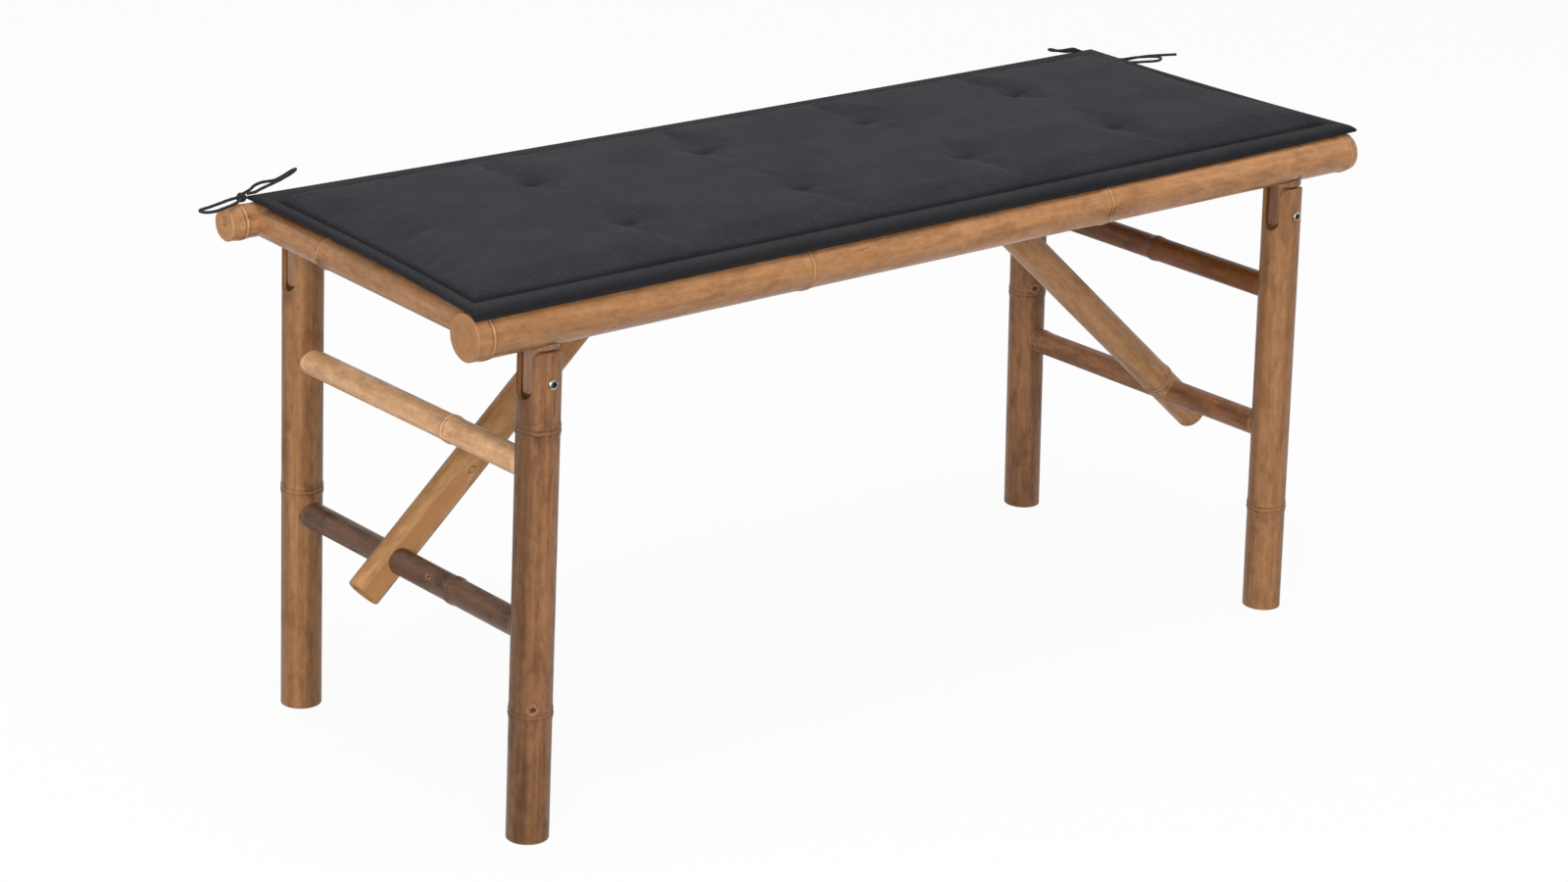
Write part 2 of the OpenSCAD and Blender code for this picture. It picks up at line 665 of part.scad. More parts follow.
module cushion() {
    us = grid_lines(cushion_l / 2, end_flange_w, tuft_xs, 1);
    vs = grid_lines(cushion_w / 2, flange_w, tuft_ys, 0);
    nu = len(us);
    nv = len(vs);
    top = [for (v = vs, u = us) let (p = cushion_plan(u, v)) [p[0], p[1], cushion_z + cushion_top(u, v)]];
    // The rim, and under it the flat bottom's outline, which leaves out the hanging front edge
    rim = concat([for (i = [0:nu - 2]) [i, 0]], [for (j = [0:nv - 2]) [nu - 1, j]],
        [for (i = [nu - 1:-1:1]) [i, nv - 1]], [for (j = [nv - 1:-1:1]) [0, j]]);
    flat = concat([for (i = [0:nu - 2]) [i, 1]], [for (j = [1:nv - 2]) [nu - 1, j]],
        [for (i = [nu - 1:-1:1]) [i, nv - 1]], [for (j = [nv - 1:-1:2]) [0, j]]);
    n = len(rim);
    m = len(flat);
    hung = [for (u = us) let (p = cushion_plan(u, vs[0]))
        [p[0], p[1], cushion_z - hang(u, vs[0])]];
    low = [for (r = flat) let (p = cushion_plan(us[r[0]], vs[r[1]])) [p[0], p[1], cushion_z]];
    middle = [[0, cushion_mid_y, cushion_z]];
    base = nu * nv;
    function under(r) = r[1] == 0 ? base + r[0] :
        base + nu + (r[1] == nv - 1 ? 2 * nu + nv - 4 - r[0] :
            r[0] == nu - 1 ? nu - 2 + r[1] : r[1] == 1 ? 0 : m + 1 - r[1]);
    color("#3f3e42") polyhedron(concat(top, hung, low, middle), concat(
        [for (j = [0:nv - 2], i = [0:nu - 2], k = [0, 1]) let (a = j * nu + i)
            k == 0 ? [a, a + nu, a + 1] : [a + 1, a + nu, a + nu + 1]],
        [for (i = [0:n - 1], k = [0, 1])
            let (j = (i + 1) % n, a = rim[i][1] * nu + rim[i][0], b = rim[j][1] * nu + rim[j][0],
                c = under(rim[i]), d = under(rim[j]))
            k == 0 ? [a, b, c] : [b, d, c]],
        [for (i = [0:nu - 2], k = [0, 1]) let (a = base + i, b = base + nu + i)
            k == 0 ? [a, a + 1, b] : [a + 1, b + 1, b]],
        [for (i = [0:m - 1]) [base + nu + i, base + nu + (i + 1) % m, base + nu + m]]));
}

// Ties

function unit(v) = v / norm(v);

// Takes a tie along with its corner of the seat frame
module at_tie(side) {
    translate([side * (seat_l / 2 - laid_at[0]), rail_gap / 2 - laid_at[1], frame_h - laid_at[2]])
        children();
}

// A round cord swept along its route, with one ring of eight points at each place
module cord(route, d) {
    n = len(route);
    sides = 8;
    rings = [for (i = [0:n - 1]) let (
        along = unit(route[min(i + 1, n - 1)] - route[max(i - 1, 0)]),
        side = unit(cross(along, [0, 0, 1])),
        up = cross(side, along))
        for (k = [0:sides - 1]) route[i]
            + d / 2 * (cos(360 * k / sides) * side + sin(360 * k / sides) * up)];
    color("#232326") polyhedron(rings, concat(
        [for (i = [0:n - 2], k = [0:sides - 1], t = [0, 1])
            let (a = i * sides + k, b = i * sides + (k + 1) % sides)
            t == 0 ? [a, b, a + sides] : [b, b + sides, a + sides]],
        [for (k = [1:sides - 2]) [0, k + 1, k]],
        [for (k = [1:sides - 2]) (n - 1) * sides * [1, 1, 1] + [0, k, k + 1]]));
}

module knot(place) {
    color("#232326") translate(place) sphere(d = knot_d, $fn = 24);
}

front_rail();
back_rail();
end_rail(-1);  // left_end_rail
end_rail(1);  // right_end_rail
cross_rail(-outer_cross_x);  // left_outer_cross_rail
cross_rail(-inner_cross_x);  // left_inner_cross_rail
cross_rail(inner_cross_x);  // right_inner_cross_rail
cross_rail(outer_cross_x);  // right_outer_cross_rail
for (i = [1:slat_count]) slat(i);
slat_nails();
tenon_nails();
hinge_block(-1, -1);  // front_left_hinge_block
hinge_block(-1, 1);  // back_left_hinge_block
hinge_block(1, -1);  // front_right_hinge_block
hinge_block(1, 1);  // back_right_hinge_block
leg(-1, -1, front_left_leg_nodes);  // front_left_leg
leg(-1, 1, back_left_leg_nodes);  // back_left_leg
leg(1, 1, front_right_leg_nodes);  // front_right_leg
leg(1, -1, back_right_leg_nodes);  // back_right_leg
crossbar(-1, top_bar_h, left_upper_bar_nodes, "#b5814f");  // left_upper_crossbar
crossbar(-1, low_bar_h, left_lower_bar_nodes, "#6f5241");  // left_lower_crossbar
crossbar(1, top_bar_h, right_upper_bar_nodes, "#8f5f3a");  // right_upper_crossbar
crossbar(1, low_bar_h, right_lower_bar_nodes, "#966640");  // right_lower_crossbar
brace(-1, left_brace_nodes, true);  // left_brace
brace(1, right_brace_nodes, false);  // right_brace
bolt(-1, -1);  // front_left_bolt
bolt(-1, 1);  // back_left_bolt
bolt(1, 1);  // front_right_bolt
bolt(1, -1);  // back_right_bolt
bolt_nuts(-1);  // left_bolt_nuts
bolt_nuts(1);  // right_bolt_nuts
cushion();
at_tie(-1) knot(left_knot);  // left_tie_knot
at_tie(-1) cord(left_long_route, cord_d);  // left_tie_long_loop
at_tie(-1) cord(left_short_route, cord_d);  // left_tie_short_loop
at_tie(1) knot(right_knot);  // right_tie_knot
at_tie(1) cord(right_long_route, cord_d);  // right_tie_long_loop
at_tie(1) cord(right_short_route, cord_d);  // right_tie_short_loop
at_tie(1) cord(right_tail_route, cord_d);  // right_tie_tail
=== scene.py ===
# %% [markdown]
# # A folding garden bench of bamboo
#
# The bench has two long rails, two end rails and a slatted base under a thin tufted
# cushion. A leg frame hangs on two bolts at each end, and a brace holds it upright. The
# rigid pieces come ready made from the CAD model, with their joints. This file gives them
# bamboo, wood and steel, and makes what CAD only blocks in: the cushion, the ties and their
# knots, the stitching, and the scars that buds leave on a cane.

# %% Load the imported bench
import math
import bmesh
import bpy
import numpy as np
from mathutils import Matrix, Vector


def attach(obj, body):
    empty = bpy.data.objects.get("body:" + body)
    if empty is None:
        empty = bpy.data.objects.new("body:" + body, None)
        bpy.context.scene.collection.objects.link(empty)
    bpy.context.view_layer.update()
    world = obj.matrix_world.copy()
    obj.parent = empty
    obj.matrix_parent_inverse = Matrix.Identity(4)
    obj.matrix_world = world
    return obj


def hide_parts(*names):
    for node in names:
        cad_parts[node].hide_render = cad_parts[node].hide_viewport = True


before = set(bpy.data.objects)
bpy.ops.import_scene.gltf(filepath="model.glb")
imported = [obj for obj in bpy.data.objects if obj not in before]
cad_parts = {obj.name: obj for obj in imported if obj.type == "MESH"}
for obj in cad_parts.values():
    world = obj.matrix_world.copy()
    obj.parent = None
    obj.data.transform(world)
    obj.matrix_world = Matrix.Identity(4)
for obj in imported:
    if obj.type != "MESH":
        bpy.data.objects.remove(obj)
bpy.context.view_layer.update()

# %% [markdown]
# ## The camera
#
# A camera can be placed by eye, but the bench's straight canes allow better: its place, its
# turn and its focal length were solved from points that show in the photograph, such as
# feet, bolts and rail ends. The picture's long side is 1600 pixels, so the focal length in
# pixels becomes millimetres on a 36 mm sensor.

# %% Place the camera
FOCAL_PIXELS, PICTURE_WIDTH, SENSOR_MM, SEES_TO = 3857, 1600, 36, 30
CAMERA_PLACE = Vector((-2.491, -2.829, 1.596))
YAW, PITCH, ROLL = (math.radians(a) for a in (41.03, 19.77, 2.38))


def camera_turn():
    """The camera's rotation. Its columns point right, up and backwards."""
    ahead = Vector((math.sin(YAW) * math.cos(PITCH), math.cos(YAW) * math.cos(PITCH), -math.sin(PITCH)))
    level = Vector((math.cos(YAW), -math.sin(YAW), 0))
    up = level.cross(ahead)
    right = math.cos(ROLL) * level + math.sin(ROLL) * up
    up = math.cos(ROLL) * up - math.sin(ROLL) * level
    return Matrix((right, up, -ahead)).transposed()


camera = bpy.data.objects.new("camera", bpy.data.cameras.new("camera"))
bpy.context.scene.collection.objects.link(camera)
camera.matrix_world = Matrix.Translation(CAMERA_PLACE) @ camera_turn().to_4x4()
camera.data.sensor_width = SENSOR_MM
camera.data.lens = FOCAL_PIXELS / PICTURE_WIDTH * SENSOR_MM
camera.data.clip_end = SEES_TO
bpy.context.scene.camera = camera
print("focal length in mm:", round(camera.data.lens, 1))

# %% [markdown]
# ## Paint and wires
#
# Every finish here is a small network of shader nodes. Colours are written as the hex codes
# of a paint chart and turned into the linear values that a renderer adds up. A helper that
# makes a node, sets its inputs and links what is handed to it keeps the networks short.

# %% Helpers for shader networks


def paint(code):
    """A hex colour as linear red, green and blue, with an alpha of one."""
    parts = [int(code[i:i + 2], 16) / 255 for i in (1, 3, 5)]
    return tuple(c / 12.92 if c <= 0.04045 else ((c + 0.055) / 1.055) ** 2.4 for c in parts) + (1.0,)


def plug(tree, sockets, values):
    """Sets sockets to values, and links those whose value is another node's socket."""
    for name, value in values.items():
        if isinstance(value, bpy.types.NodeSocket):
            tree.links.new(value, sockets[name])
        else:
            sockets[name].default_value = value


def wire(tree, kind, inputs=(), **settings):
    """A node in the tree, with its settings and inputs."""
    made = tree.nodes.new(kind)
    for name, value in settings.items():
        setattr(made, name, value)
    plug(tree, made.inputs, dict(inputs))
    return made


def sums(tree, operation, *values, clamp=False):
    """The result socket of a Math node."""
    return wire(tree, "ShaderNodeMath", enumerate(values), operation=operation, use_clamp=clamp).outputs[0]


def vectors(tree, operation, *values, out=0):
    """A result socket of a Vector Math node."""
    return wire(tree, "ShaderNodeVectorMath", enumerate(values), operation=operation).outputs[out]


def ramp(tree, value, start, end, low=0.0, high=1.0):
    """A value that climbs smoothly from low to high while its input goes from start to end."""
    return wire(tree, "ShaderNodeMapRange",
                {"Value": value, "From Min": start, "From Max": end, "To Min": low, "To Max": high},
                interpolation_type="SMOOTHSTEP").outputs[0]


def blend_colours(tree, share, first, second, mode="MIX"):
    """The colour socket of a Mix node. Its inputs 6 and 7 are the two colours."""
    return wire(tree, "ShaderNodeMix", {0: share, 6: first, 7: second},
                data_type="RGBA", blend_type=mode).outputs[2]


def tint(tree, colour, mask, share, over):
    """The colour, with a share of another one over it where the mask is one."""
    return blend_colours(tree, sums(tree, "MULTIPLY", mask, share), colour, over)


def mottled(tree, field, low, high, first, second):
    """Two paints, blended by a value that runs from low to high."""
    return blend_colours(tree, ramp(tree, field, low, high), paint(first), paint(second))


def grey(tree, value):
    """A colour with that value in red, green and blue."""
    return wire(tree, "ShaderNodeCombineColor", {"Red": value, "Green": value, "Blue": value}).outputs[0]


def here(tree):
    """The point that is shaded, in the object's own space."""
    return wire(tree, "ShaderNodeTexCoord").outputs["Object"]


def noise(tree, vector, scale, detail, **more):
    """The value of a Noise texture."""
    return wire(tree, "ShaderNodeTexNoise",
                {"Vector": vector, "Scale": scale, "Detail": detail, **more}).outputs[0]


def relief(tree, height, strength, distance):
    """The normal of a Bump node."""
    return wire(tree, "ShaderNodeBump",
                {"Height": height, "Strength": strength, "Distance": distance}).outputs[0]


def effect(name, inputs, outputs):
    """An empty node group with named sockets, and its two ends."""
    tree = bpy.data.node_groups.new(name, "ShaderNodeTree")
    kinds = {float: "NodeSocketFloat", tuple: "NodeSocketVector", str: "NodeSocketColor"}
    for way, sockets in (("INPUT", inputs), ("OUTPUT", outputs)):
        for label, value in sockets.items():
            socket = tree.interface.new_socket(label, in_out=way, socket_type=kinds[type(value)])
            if way == "INPUT":
                socket.default_value = paint(value) if isinstance(value, str) else value
    return tree, wire(tree, "NodeGroupInput").outputs, wire(tree, "NodeGroupOutput").inputs


def spaced(inputs):
    """The same inputs, with spaces in their names instead of underscores."""
    return {name.replace("_", " "): value for name, value in inputs.items()}


def use(tree, group, **inputs):
    """The outputs of a node group that is placed in a tree."""
    return wire(tree, "ShaderNodeGroup", spaced(inputs), node_tree=group).outputs


def finish_of(name):
    """A new material, its tree and its Principled shader."""
    material = bpy.data.materials.new(name)
    material.use_nodes = True
    return material, material.node_tree, material.node_tree.nodes["Principled BSDF"]


def feed(tree, shader, **inputs):
    """Sets or links the Principled shader's own inputs."""
    plug(tree, shader.inputs, spaced(inputs))


def add_object(name, data, materials):
    """A smooth object in the scene, with that mesh and those materials."""
    piece = bpy.data.objects.new(name, data)
    bpy.context.scene.collection.objects.link(piece)
    for material in materials:
        data.materials.append(material)
    for face in data.polygons:
        face.use_smooth = True
    return piece


def add_piece(name, mesh, materials):
    """Turns a bmesh into an object."""
    data = bpy.data.meshes.new(name)
    mesh.to_mesh(data)
    mesh.free()
    return add_object(name, data, materials)


X, Y, Z = Vector((1, 0, 0)), Vector((0, 1, 0)), Vector((0, 0, 1))
print("helpers ready")

# %% [markdown]
# ## The ties
#
# Thin round cords come from the cushion's back corners and are tied in a bow: two loops on
# the left, and two loops and a free end on the right. Each is a tube swept along the points
# of its route. The points come from the CAD model, and a smooth curve is laid through
# them. The cord is braided, so its side is made of fine slanting strands in the mesh, and
# not just drawn on.

# %% Make the ties
CORD_D, CORD_STEP, BRAID_DEPTH = 0.0032, 0.0008, 0.00012
STRANDS, TWIST = 8, 900  # strands of the braid, and their twist in radians per metre
CURVE_PARTS = 12
ROUTES = {
    "left_tie_long_loop": (
        (-0.565, 0.212, 0.547), (-0.573, 0.2113, 0.5468), (-0.581, 0.2095, 0.5465),
        (-0.589, 0.2073, 0.546), (-0.597, 0.2049, 0.5458), (-0.605, 0.2022, 0.5457),
        (-0.613, 0.2001, 0.5457), (-0.6182, 0.198, 0.5458), (-0.6206, 0.193, 0.5459),
        (-0.6182, 0.188, 0.546), (-0.613, 0.1859, 0.546), (-0.605, 0.1869, 0.546), (-0.597, 0.1895, 0.5462),
        (-0.589, 0.1925, 0.5463), (-0.581, 0.196, 0.5464), (-0.573, 0.201, 0.5465),
        (-0.5655, 0.2085, 0.546)),
    "left_tie_short_loop": (
        (-0.559, 0.215, 0.5488), (-0.5495, 0.2172, 0.5509), (-0.5433, 0.218, 0.5542),
        (-0.5357, 0.2183, 0.5559), (-0.5285, 0.218, 0.5561), (-0.5214, 0.2175, 0.5561),
        (-0.5143, 0.217, 0.558), (-0.5078, 0.2163, 0.5608), (-0.5027, 0.2148, 0.5637),
        (-0.5011, 0.2105, 0.5663), (-0.5039, 0.2052, 0.5674), (-0.5103, 0.2018, 0.566),
        (-0.5175, 0.2014, 0.5635), (-0.5246, 0.202, 0.5607), (-0.5315, 0.2028, 0.5584),
        (-0.5382, 0.2038, 0.5562), (-0.5443, 0.2054, 0.5538), (-0.5494, 0.2076, 0.551),
        (-0.5565, 0.2118, 0.5492)),
    "right_tie_short_loop": (
        (0.5965, 0.2083, 0.5415), (0.589, 0.2138, 0.5433), (0.58, 0.215, 0.5442), (0.571, 0.215, 0.5448),
        (0.562, 0.216, 0.5462), (0.553, 0.2165, 0.5484), (0.544, 0.2155, 0.551), (0.537, 0.212, 0.5524),
        (0.5345, 0.206, 0.553), (0.538, 0.2005, 0.5532), (0.546, 0.1985, 0.5532), (0.555, 0.1995, 0.5528),
        (0.564, 0.203, 0.5516), (0.573, 0.207, 0.5496), (0.581, 0.2086, 0.5466), (0.5885, 0.2083, 0.5436),
        (0.5946, 0.2049, 0.5412)),
    "right_tie_long_loop": (
        (0.6023, 0.201, 0.5405), (0.6084, 0.191, 0.5391), (0.6173, 0.1835, 0.5366),
        (0.6264, 0.1765, 0.5369), (0.6338, 0.1695, 0.5391), (0.6412, 0.1625, 0.5405),
        (0.6475, 0.156, 0.5415), (0.6522, 0.1495, 0.5422), (0.6531, 0.1435, 0.542),
        (0.6452, 0.1375, 0.5417), (0.6357, 0.138, 0.5415), (0.6289, 0.144, 0.5406),
        (0.6221, 0.1515, 0.5392), (0.6141, 0.1595, 0.5385), (0.6064, 0.168, 0.5388),
        (0.5998, 0.1775, 0.5393), (0.5955, 0.187, 0.5399), (0.6, 0.1985, 0.538)),
    "right_tie_tail": (
        (0.602, 0.206, 0.5415), (0.609, 0.2025, 0.5405), (0.6154, 0.1985, 0.5351), (0.6252, 0.191, 0.5326),
        (0.6349, 0.183, 0.5335), (0.6433, 0.1755, 0.5365), (0.6523, 0.1685, 0.5386),
        (0.6603, 0.162, 0.5399), (0.6688, 0.156, 0.5406), (0.6757, 0.15, 0.5415), (0.6811, 0.145, 0.5422))}


def smooth_line(points, step):
    """A smooth curve through the points, as points one step apart."""
    points = [Vector(p) for p in points]
    padded = [2 * points[0] - points[1]] + points + [2 * points[-1] - points[-2]]
    fine = []
    for a, b, c, d in zip(padded, padded[1:], padded[2:], padded[3:]):
        for t in (i / CURVE_PARTS for i in range(CURVE_PARTS)):
            fine.append(0.5 * (2 * b + (c - a) * t + (2 * a - 5 * b + 4 * c - d) * t * t
                               + (3 * b - a - 3 * c + d) * t ** 3))
    fine.append(points[-1])
    far = np.concatenate([[0], np.cumsum([(q - p).length for p, q in zip(fine, fine[1:])])])
    count = max(2, round(far[-1] / step))
    even = np.linspace(0, far[-1], count + 1)
    return np.column_stack([np.interp(even, far, [p[i] for p in fine]) for i in range(3)]), far[-1]


def tube(mesh, line, radius, around=12, strands=0, depth=0.0, closed=False):
    """Sweeps a round cord along the line. Strands that wind round it are raised by the depth."""
    line = np.asarray(line, float)
    count = len(line)
    if closed:
        heading = np.roll(line, -1, 0) - np.roll(line, 1, 0)
    else:
        heading = np.gradient(line, axis=0)
    heading /= np.linalg.norm(heading, axis=1)[:, None]
    side = np.cross(heading[0], (0, 0, 1) if abs(heading[0][2]) < 0.9 else (1, 0, 0))
    far, rings = 0.0, []
    for i in range(count):
        side = side - side.dot(heading[i]) * heading[i]
        side /= np.linalg.norm(side)
        up = np.cross(heading[i], side)
        far += np.linalg.norm(line[i] - line[i - 1]) if i else 0
        row = []
        for k in range(around):
            turn = 2 * math.pi * k / around
            weave = (abs(math.sin(strands / 2 * (turn + TWIST * far)))
                     * abs(math.sin(strands / 2 * (turn - TWIST * far))))
            reach = radius - depth * (1 - weave) if strands else radius
            row.append(mesh.verts.new(line[i] + reach * (math.cos(turn) * side + math.sin(turn) * up)))
        rings.append(row)
    for i in range(count if closed else count - 1):
        a, b = rings[i], rings[(i + 1) % count]
        for k in range(around):
            n = (k + 1) % around
            mesh.faces.new((a[k], a[n], b[n], b[k]))
    if not closed:
        for row, order in ((rings[0], -1), (rings[-1], 1)):
            mesh.faces.new(row[::order])


cord_finish, tree, shader = finish_of("tie_braid")
lint = noise(tree, here(tree), 1300.0, 3.0)
feed(tree, shader, Base_Color=mottled(tree, lint, 0.3, 0.7, "#1b1b1e", "#35353a"),
     Roughness=ramp(tree, lint, 0.3, 0.7, 0.7, 0.9), Sheen_Weight=0.03, Specular_IOR_Level=0.2,
     Normal=relief(tree, lint, 0.3, 0.0002))

KNOTS = {"left_tie_knot": (-0.5613, 0.2139, 0.5458), "right_tie_knot": (0.5975, 0.203, 0.5395)}
KNOT_R, WRAP_R, WRAP_DEPTH, WRAP_POINTS = 0.0055, 0.0017, 0.0002, 36
CORE_SHARE, CORE_BUMPS = 0.95, 0.04
# Each wrap: the axis that it goes round (for the left knot), its squeeze and its rise.
WRAPS = (((1, 0.25, 0.3), 0.9, 0.0006), ((0.3, 1, -0.35), 0.85, -0.0007), ((0.5, -0.4, 1), 0.8, 0.0005))


def knot_wrap(centre, around_axis, radius, squeeze, rise):
    """A closed loop of cord round a knot, pulled to an oval."""
    axis = Vector(around_axis).normalized()
    side = axis.cross(Z if abs(axis.z) < 0.8 else X).normalized()
    other = axis.cross(side)
    return [Vector(centre) + radius * (math.cos(t) * side + squeeze * math.sin(t) * other)
            + axis * rise * math.sin(2 * t)
            for t in (2 * math.pi * k / WRAP_POINTS for k in range(WRAP_POINTS))]


def tie_piece(node, mesh):
    """A piece of cord on the seat that stands for that CAD node."""
    piece = add_piece(node.replace("tie", "bow"), mesh, [cord_finish])
    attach(piece, "seat")
    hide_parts(node)
    return piece


for name, centre in KNOTS.items():
    mesh = bmesh.new()
    mirror, room = 1 if name.startswith("left") else -1, KNOT_R - WRAP_R
    for (x, y, z), squeeze, rise in WRAPS:
        tube(mesh, knot_wrap(centre, (x * mirror, y, z), room, squeeze, rise), WRAP_R,
             strands=STRANDS, depth=WRAP_DEPTH, closed=True)
    core = bmesh.ops.create_icosphere(mesh, subdivisions=3, radius=room * CORE_SHARE)
    for vert in core["verts"]:
        bumpy = 1 + CORE_BUMPS * math.sin(900 * vert.co.x + 700 * vert.co.z)
        vert.co = vert.co * bumpy + Vector(centre)
    tie_piece(name, mesh)

for name, route in ROUTES.items():
    line, length = smooth_line(route, CORD_STEP)
    mesh = bmesh.new()
    tube(mesh, line, CORD_D / 2, around=16, strands=STRANDS, depth=BRAID_DEPTH)
    tie = tie_piece(name, mesh)
    end = "bare" if name.endswith("tail") else "object"
    print(tie.name, "length", round(length, 4))

# %% [markdown]
# ## A cane's own space
#
# Everything on bamboo runs along the cane: fibres are fine across it and long along it, and
# the rings stand square to it. So the first effect turns a point on any cane into its
# distance along the axis, its distance out from it, and a vector for the textures. A UV
# map could do this too, but the CAD pieces have none, and the axis of a cane is known.

# %% The effect that finds a place on a cane
cane_space, given, result = effect(
    "place on a cane",
    {"Middle": (0.0, 0.0, 0.0), "Along": (0.0, 0.0, 1.0), "Across": (1.0, 0.0, 0.0)},
    {"Grain": (0.0, 0.0, 0.0), "Distance": 0.0, "Out": 0.0, "End face": 0.0})
spot = wire(cane_space, "ShaderNodeTexCoord").outputs
arm = vectors(cane_space, "SUBTRACT", spot["Object"], given["Middle"])
third = vectors(cane_space, "CROSS_PRODUCT", given["Along"], given["Across"])
lengthwise = vectors(cane_space, "DOT_PRODUCT", arm, given["Along"], out=1)
sideways = vectors(cane_space, "DOT_PRODUCT", arm, given["Across"], out=1)
upwards = vectors(cane_space, "DOT_PRODUCT", arm, third, out=1)
flat = wire(cane_space, "ShaderNodeCombineXYZ", {"X": sideways, "Y": upwards}).outputs[0]
grain = wire(cane_space, "ShaderNodeCombineXYZ", {"X": sideways, "Y": upwards, "Z": lengthwise}).outputs[0]
facing = vectors(cane_space, "DOT_PRODUCT", spot["Normal"], given["Along"], out=1)
plug(cane_space, result, {"Grain": grain, "Distance": lengthwise,
                          "Out": vectors(cane_space, "LENGTH", flat, out=1),
                          "End face": sums(cane_space, "ABSOLUTE", facing)})
print("effect:", cane_space.name, "->", [s.name for s in result if s.name])

# %% [markdown]
# ## Streaks, fibres and stains
#
# Dried bamboo is never one colour. One side of a cane is paler than the other, streaks run
# its length, thin dark lines and hair-fine fibres lie in them, cloudy stains cross them,
# and short dark flecks sit here and there. Each is a noise texture squeezed along the cane
# by its own amount. Two noises in one would be shorter, but then streaks and stains
# couldn't be set apart for each cane.

# %% The effect for a cane's skin
skin, given, result = effect(
    "cane skin",
    {"Grain": (0.0, 0.0, 0.0), "Seed": 0.0, "Pale": "#d2a67a", "Body": "#b98a5d", "Dark": "#7d5236",
     "Streaks": 0.5, "Stains": 0.5, "Flecks": 0.5},
    {"Colour": "#ffffff", "Fibre": 0.0, "Stain": 0.0})
LAYERS = {  # squeeze across and along the cane, detail, roughness; noise from and to, lowest, highest
    "streak": ((130, 4, 4.0, 0.55), (0.38, 0.62)),
    "line": ((420, 7, 2.0, 0.55), (0.58, 0.72)),
    "stain": ((60, 22, 6.0, 0.66), (0.46, 0.66)),
    "fleck": ((620, 85, 2.0, 0.55), (0.66, 0.74)),
    "side": ((26, 1.3, 2.0, 0.55), (0.36, 0.64, 0.84, 1.12)),
    "mottle": ((170, 75, 4.0, 0.6), (0.36, 0.64, 0.9, 1.1))}
FIBRE = (1100, 22, 2.0, 0.55)


def seed_shift(tree, step, seed):
    """As many steps as the seed says, so that no two canes share a pattern."""
    return wire(tree, "ShaderNodeVectorMath", {0: step, "Scale": seed}, operation="SCALE").outputs[0]


def long_noise(tree, vector, shift, across, along, detail, roughness):
    """Noise that is fine across the cane and stretched along it."""
    squeezed = vectors(tree, "ADD", vectors(tree, "MULTIPLY", vector, (across, across, along)), shift)
    return noise(tree, squeezed, 1.0, detail, Roughness=roughness)


shift = seed_shift(skin, (3.1, 1.7, 5.3), given["Seed"])
layer = {name: ramp(skin, long_noise(skin, given["Grain"], shift, *squeeze), *span)
         for name, (squeeze, span) in LAYERS.items()}
fibre = long_noise(skin, given["Grain"], shift, *FIBRE)
shade = tint(skin, given["Body"], layer["streak"], given["Streaks"], given["Pale"])
for name, amount, share in (("stain", "Stains", 1.0), ("line", "Streaks", 0.4), ("fleck", "Flecks", 1.0)):
    mask = sums(skin, "MULTIPLY", layer[name], given[amount])
    shade = tint(skin, shade, mask, share, given["Dark"])
fine = sums(skin, "MULTIPLY", sums(
    skin, "MULTIPLY", ramp(skin, fibre, 0.3, 0.7, 0.93, 1.05), layer["mottle"]), layer["side"])
shade = blend_colours(skin, 1.0, shade, grey(skin, fine), "MULTIPLY")
plug(skin, result, {"Colour": shade, "Fibre": fibre, "Stain": layer["stain"]})
print("effect:", skin.name, "with", len(skin.nodes), "nodes")

# %% [markdown]
# ## The rings at a cane's nodes
#
# At each node a cane has a low ridge, rubbed pale, between two fine dark lines, and a faint
# smoky band on both sides. The ridges are in the CAD shape. The effect adds their colour at
# one place along the cane, and is placed once for each node and chained, because one group
# for any number of nodes isn't possible in a fixed network.

# %% The effect for one ring
ring, given, result = effect(
    "cane ring",
    {"Distance": 0.0, "Place": 9.0, "Wobble": 0.5, "Groove so far": 0.0, "Rim so far": 0.0,
     "Smoke so far": 0.0},
    {"Groove": 0.0, "Rim": 0.0, "Smoke": 0.0})
WAVER = 0.0018
DARK_LINES, SMOKE = ((-0.0026, 0.0016), (0.0022, 0.0014)), ((-0.007, 0.015), (0.006, 0.008))
waver = sums(ring, "MULTIPLY_ADD", given["Wobble"], WAVER, -WAVER / 2)
away = sums(ring, "ADD", sums(ring, "SUBTRACT", given["Distance"], given["Place"]), waver)


def hump(tree, value, middle, half_width):
    """One at the middle, and zero half a width away on each side."""
    return ramp(tree, sums(tree, "ABSOLUTE", sums(tree, "SUBTRACT", value, middle)), half_width, 0.0)


edges, smoke = (sums(ring, "MAXIMUM", *(hump(ring, away, *band) for band in bands))
                for bands in (DARK_LINES, SMOKE))
marks = {"Groove": sums(ring, "MULTIPLY", edges, ramp(ring, given["Wobble"], 0.0, 0.6, 0.45, 1.0)),
         "Rim": hump(ring, away, -0.0002, 0.0018),
         "Smoke": sums(ring, "MULTIPLY", given["Wobble"], smoke)}
plug(ring, result, {label: sums(ring, "MAXIMUM", value, given[label + " so far"])
                    for label, value in marks.items()})
print("effect:", ring.name)

# %% [markdown]
# ## Cut bamboo
#
# A saw cut shows pale wood with the ends of its fibre bundles as dots. Cut along the grain,
# the same bundles show as lines. Squeezed cells of a Voronoi texture give both, because the
# squeeze is along the cane. A cane that is cut at a node shows a solid disc, paler in its
# middle, with a darker ring round it.

